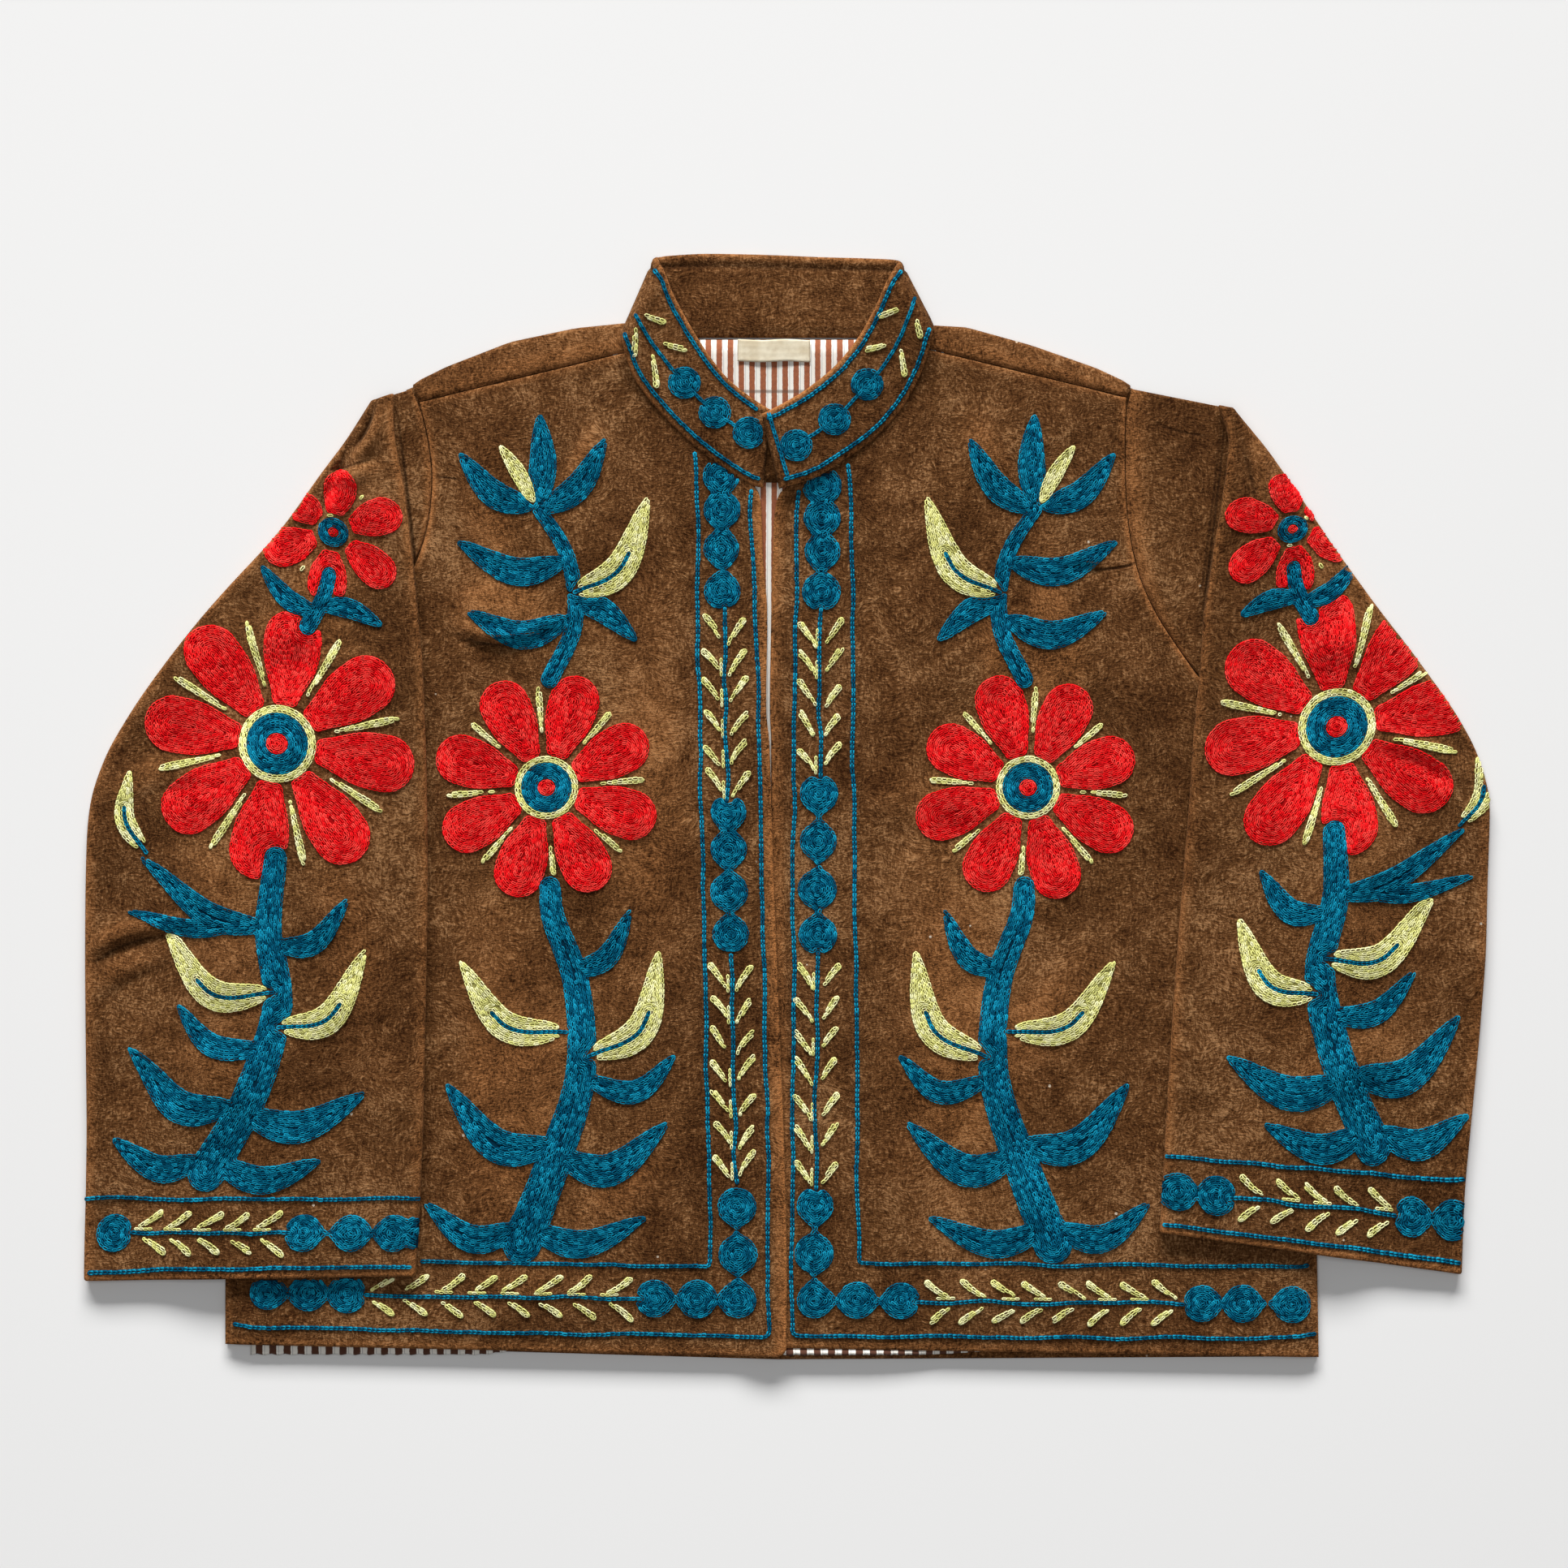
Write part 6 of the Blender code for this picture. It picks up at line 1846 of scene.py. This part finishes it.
embroidery["collar"] = []
collar_middle = len(collar_grid) // 2
for half_name, low, high, end_column, discs, stem, leaflets, seen, seed in (
    (
        "collar_right", 0, collar_middle, None,
        [(-0.0580, 0.2404), (-0.0409, 0.2238), (-0.0216, 0.2123)],
        [(-0.0640, 0.2470), (-0.0715, 0.2562), (-0.0785, 0.2660), (-0.0856, 0.2785)],
        [
            ((-0.0841, 0.2792), (-0.0697, 0.2743)), ((-0.0719, 0.2632), (-0.0578, 0.2592)),
            ((-0.0773, 0.2627), (-0.0736, 0.2387)), ((-0.0856, 0.2750), (-0.0863, 0.2556)),
        ],
        clear_of_left_end, 51,
    ),
    (
        "collar_left", collar_middle, len(collar_grid), -4,
        [(0.0451, 0.2394), (0.0267, 0.2197), (0.0051, 0.2049)],
        [(0.0532, 0.2483), (0.0602, 0.2590), (0.0668, 0.2730), (0.0731, 0.2909)],
        [
            ((0.0683, 0.2833), (0.0524, 0.2776)), ((0.0618, 0.2642), (0.0446, 0.2588)),
            ((0.0633, 0.2620), (0.0664, 0.2448)), ((0.0719, 0.2807), (0.0750, 0.2660)),
        ],
        anywhere, 52,
    ),
):
    pattern = Pattern((-0.110, 0.165), (0.100, 0.320), seed)
    for height in COLLAR_ROWS:
        pattern.row("blue", collar_line(height, low, high)[::3], cut=False)
    if end_column:
        pattern.row("blue", collar_grid[end_column, 2:-2:4, :2] + CENTRE[:2], cut=False)
    pattern.row("blue", discs[::-1] + stem, COLLAR_STEM_HALF, cut=False)
    for place in discs:
        pattern.disc("blue", place, COLLAR_DISC)
    for base, tip in leaflets:
        middle = np.add(base, tip) / 2 + pattern.random.uniform(-0.0006, 0.0006, 2)
        places = zip((base, middle, tip), LEAFLET_HALVES)
        pattern.fill("lime", [(*place, half - 0.0001) for place, half in places])
    ground = ground_from_above(collar, (-0.110, 0.165), (0.100, 0.320), 1)
    embroidery["collar"] += stitch_meshes(half_name, pattern, ground, seen, seed)


# Cloth sheets
# What each panel measures laid flat, what it rests on, and the stitches that go with it. A sleeve is a
# tube, so its width is the whole way round it. Each flat size is a width and a height.


def kept_area(grid, kept):
    """Area of the cells of a grid that a panel has."""
    first = grid[1:, 1:] - grid[:-1, :-1]
    second = grid[1:, :-1] - grid[:-1, 1:]
    return float(np.linalg.norm(np.cross(first, second), axis=2)[kept].sum() / 2)


every_cell = slice(None)
fronts_flat = {"front_right": (0.322, 0.572), "front_left": (0.308, 0.574)}

for piece, grid, kept, flat, rests_on, parts in (
    (back, back_grid, back_kept, (0.640, 0.602), [], []),
    (lining, lining_grid, every_cell, (0.592, 0.575), [back], []),
    *(
        (front_pieces[name], fronts[name], every_cell, flat, [lining], embroidery[name])
        for name, flat in fronts_flat.items()
    ),
    (label, label_grid, every_cell, (0.0415, 0.0128), [lining], []),
    (collar, collar_grid, every_cell, (0.450, 0.0475), [lining], embroidery["collar"]),
):
    whole = flat[0] * flat[1]
    area = min(kept_area(grid, kept) / whole, 1.0) * whole
    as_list(rests_on)
    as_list(parts)
for sleeve_name, sleeve in sleeve_pieces.items():
    area = kept_area(sleeves[sleeve_name][0], every_cell)
    parts = embroidery[sleeve_name]
    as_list(parts)


# Floor, light and camera
# A plain pale floor, seen from straight above. The broad main light stands far off beyond the collar
# and low, so that the hems throw a short shadow, and a weak one hangs overhead.

CAMERA_X = -0.0017
CAMERA_Y = 0.0129
PICTURE_WIDTH = 0.889
LENS = 85.0
FILM_WIDTH = 36.0
FLOOR_GREY = (0.80, 0.80, 0.80, 1.0)
FLOOR_SIZE = 8.0
FLOOR_Z = -0.0002
LIGHT_ALL_ROUND = 0.15
Lamp = namedtuple("Lamp", "name location wide deep power colour")
LAMPS = [
    Lamp("key light", (-0.9, 13.9, 5.6), 11.5, 3.5, 4750.0, (1.0, 0.995, 0.985)),
    Lamp("overhead light", (-0.1, 0.0, 1.8), 0.8, 0.8, 7.5, (1.0, 1.0, 1.0)),
]


def aimed(thing, target):
    """Turn a lamp or camera so that it looks at a point."""
    away = Vector(target) - thing.location
    thing.rotation_euler = away.to_track_quat("-Z", "Y").to_euler()


def soft_light(name, location, wide, deep, power, colour):
    """An area light, aimed at the middle of the floor."""
    lamp = bpy.data.lights.new(name, "AREA")
    lamp.energy = power
    lamp.shape = "RECTANGLE"
    lamp.size = wide
    lamp.size_y = deep
    lamp.color = colour
    light = bpy.data.objects.new(name, lamp)
    light.location = location
    aimed(light, (0.0, 0.0, 0.0))
    bpy.context.scene.collection.objects.link(light)


bpy.ops.mesh.primitive_plane_add(size=FLOOR_SIZE, location=(0, 0, FLOOR_Z))
floor = bpy.context.object
floor.name = "floor"
floor_finish = Finish("pale floor")
floor_finish.shader.inputs["Base Color"].default_value = FLOOR_GREY
floor_finish.shader.inputs["Roughness"].default_value = 0.9
floor_finish.shader.inputs["Specular IOR Level"].default_value = 0.1
floor.data.materials.append(floor_finish.material)
floor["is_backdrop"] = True

for lamp in LAMPS:
    soft_light(*lamp)
world = bpy.data.worlds.new("studio")
world.use_nodes = True
world.node_tree.nodes["Background"].inputs["Color"].default_value = (1.0, 1.0, 1.0, 1.0)
world.node_tree.nodes["Background"].inputs["Strength"].default_value = LIGHT_ALL_ROUND
bpy.context.scene.world = world

lens = bpy.data.cameras.new("camera")
lens.lens = LENS
lens.sensor_width = FILM_WIDTH
camera = bpy.data.objects.new("camera", lens)
camera.location = (CAMERA_X, CAMERA_Y, PICTURE_WIDTH * LENS / FILM_WIDTH)
bpy.context.scene.collection.objects.link(camera)
bpy.context.scene.camera = camera
bpy.context.scene.view_settings.view_transform = "Standard"

low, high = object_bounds()
boxes = {"cad": [list(cad_low), list(cad_high)], "visual": [list(low), list(high)]}
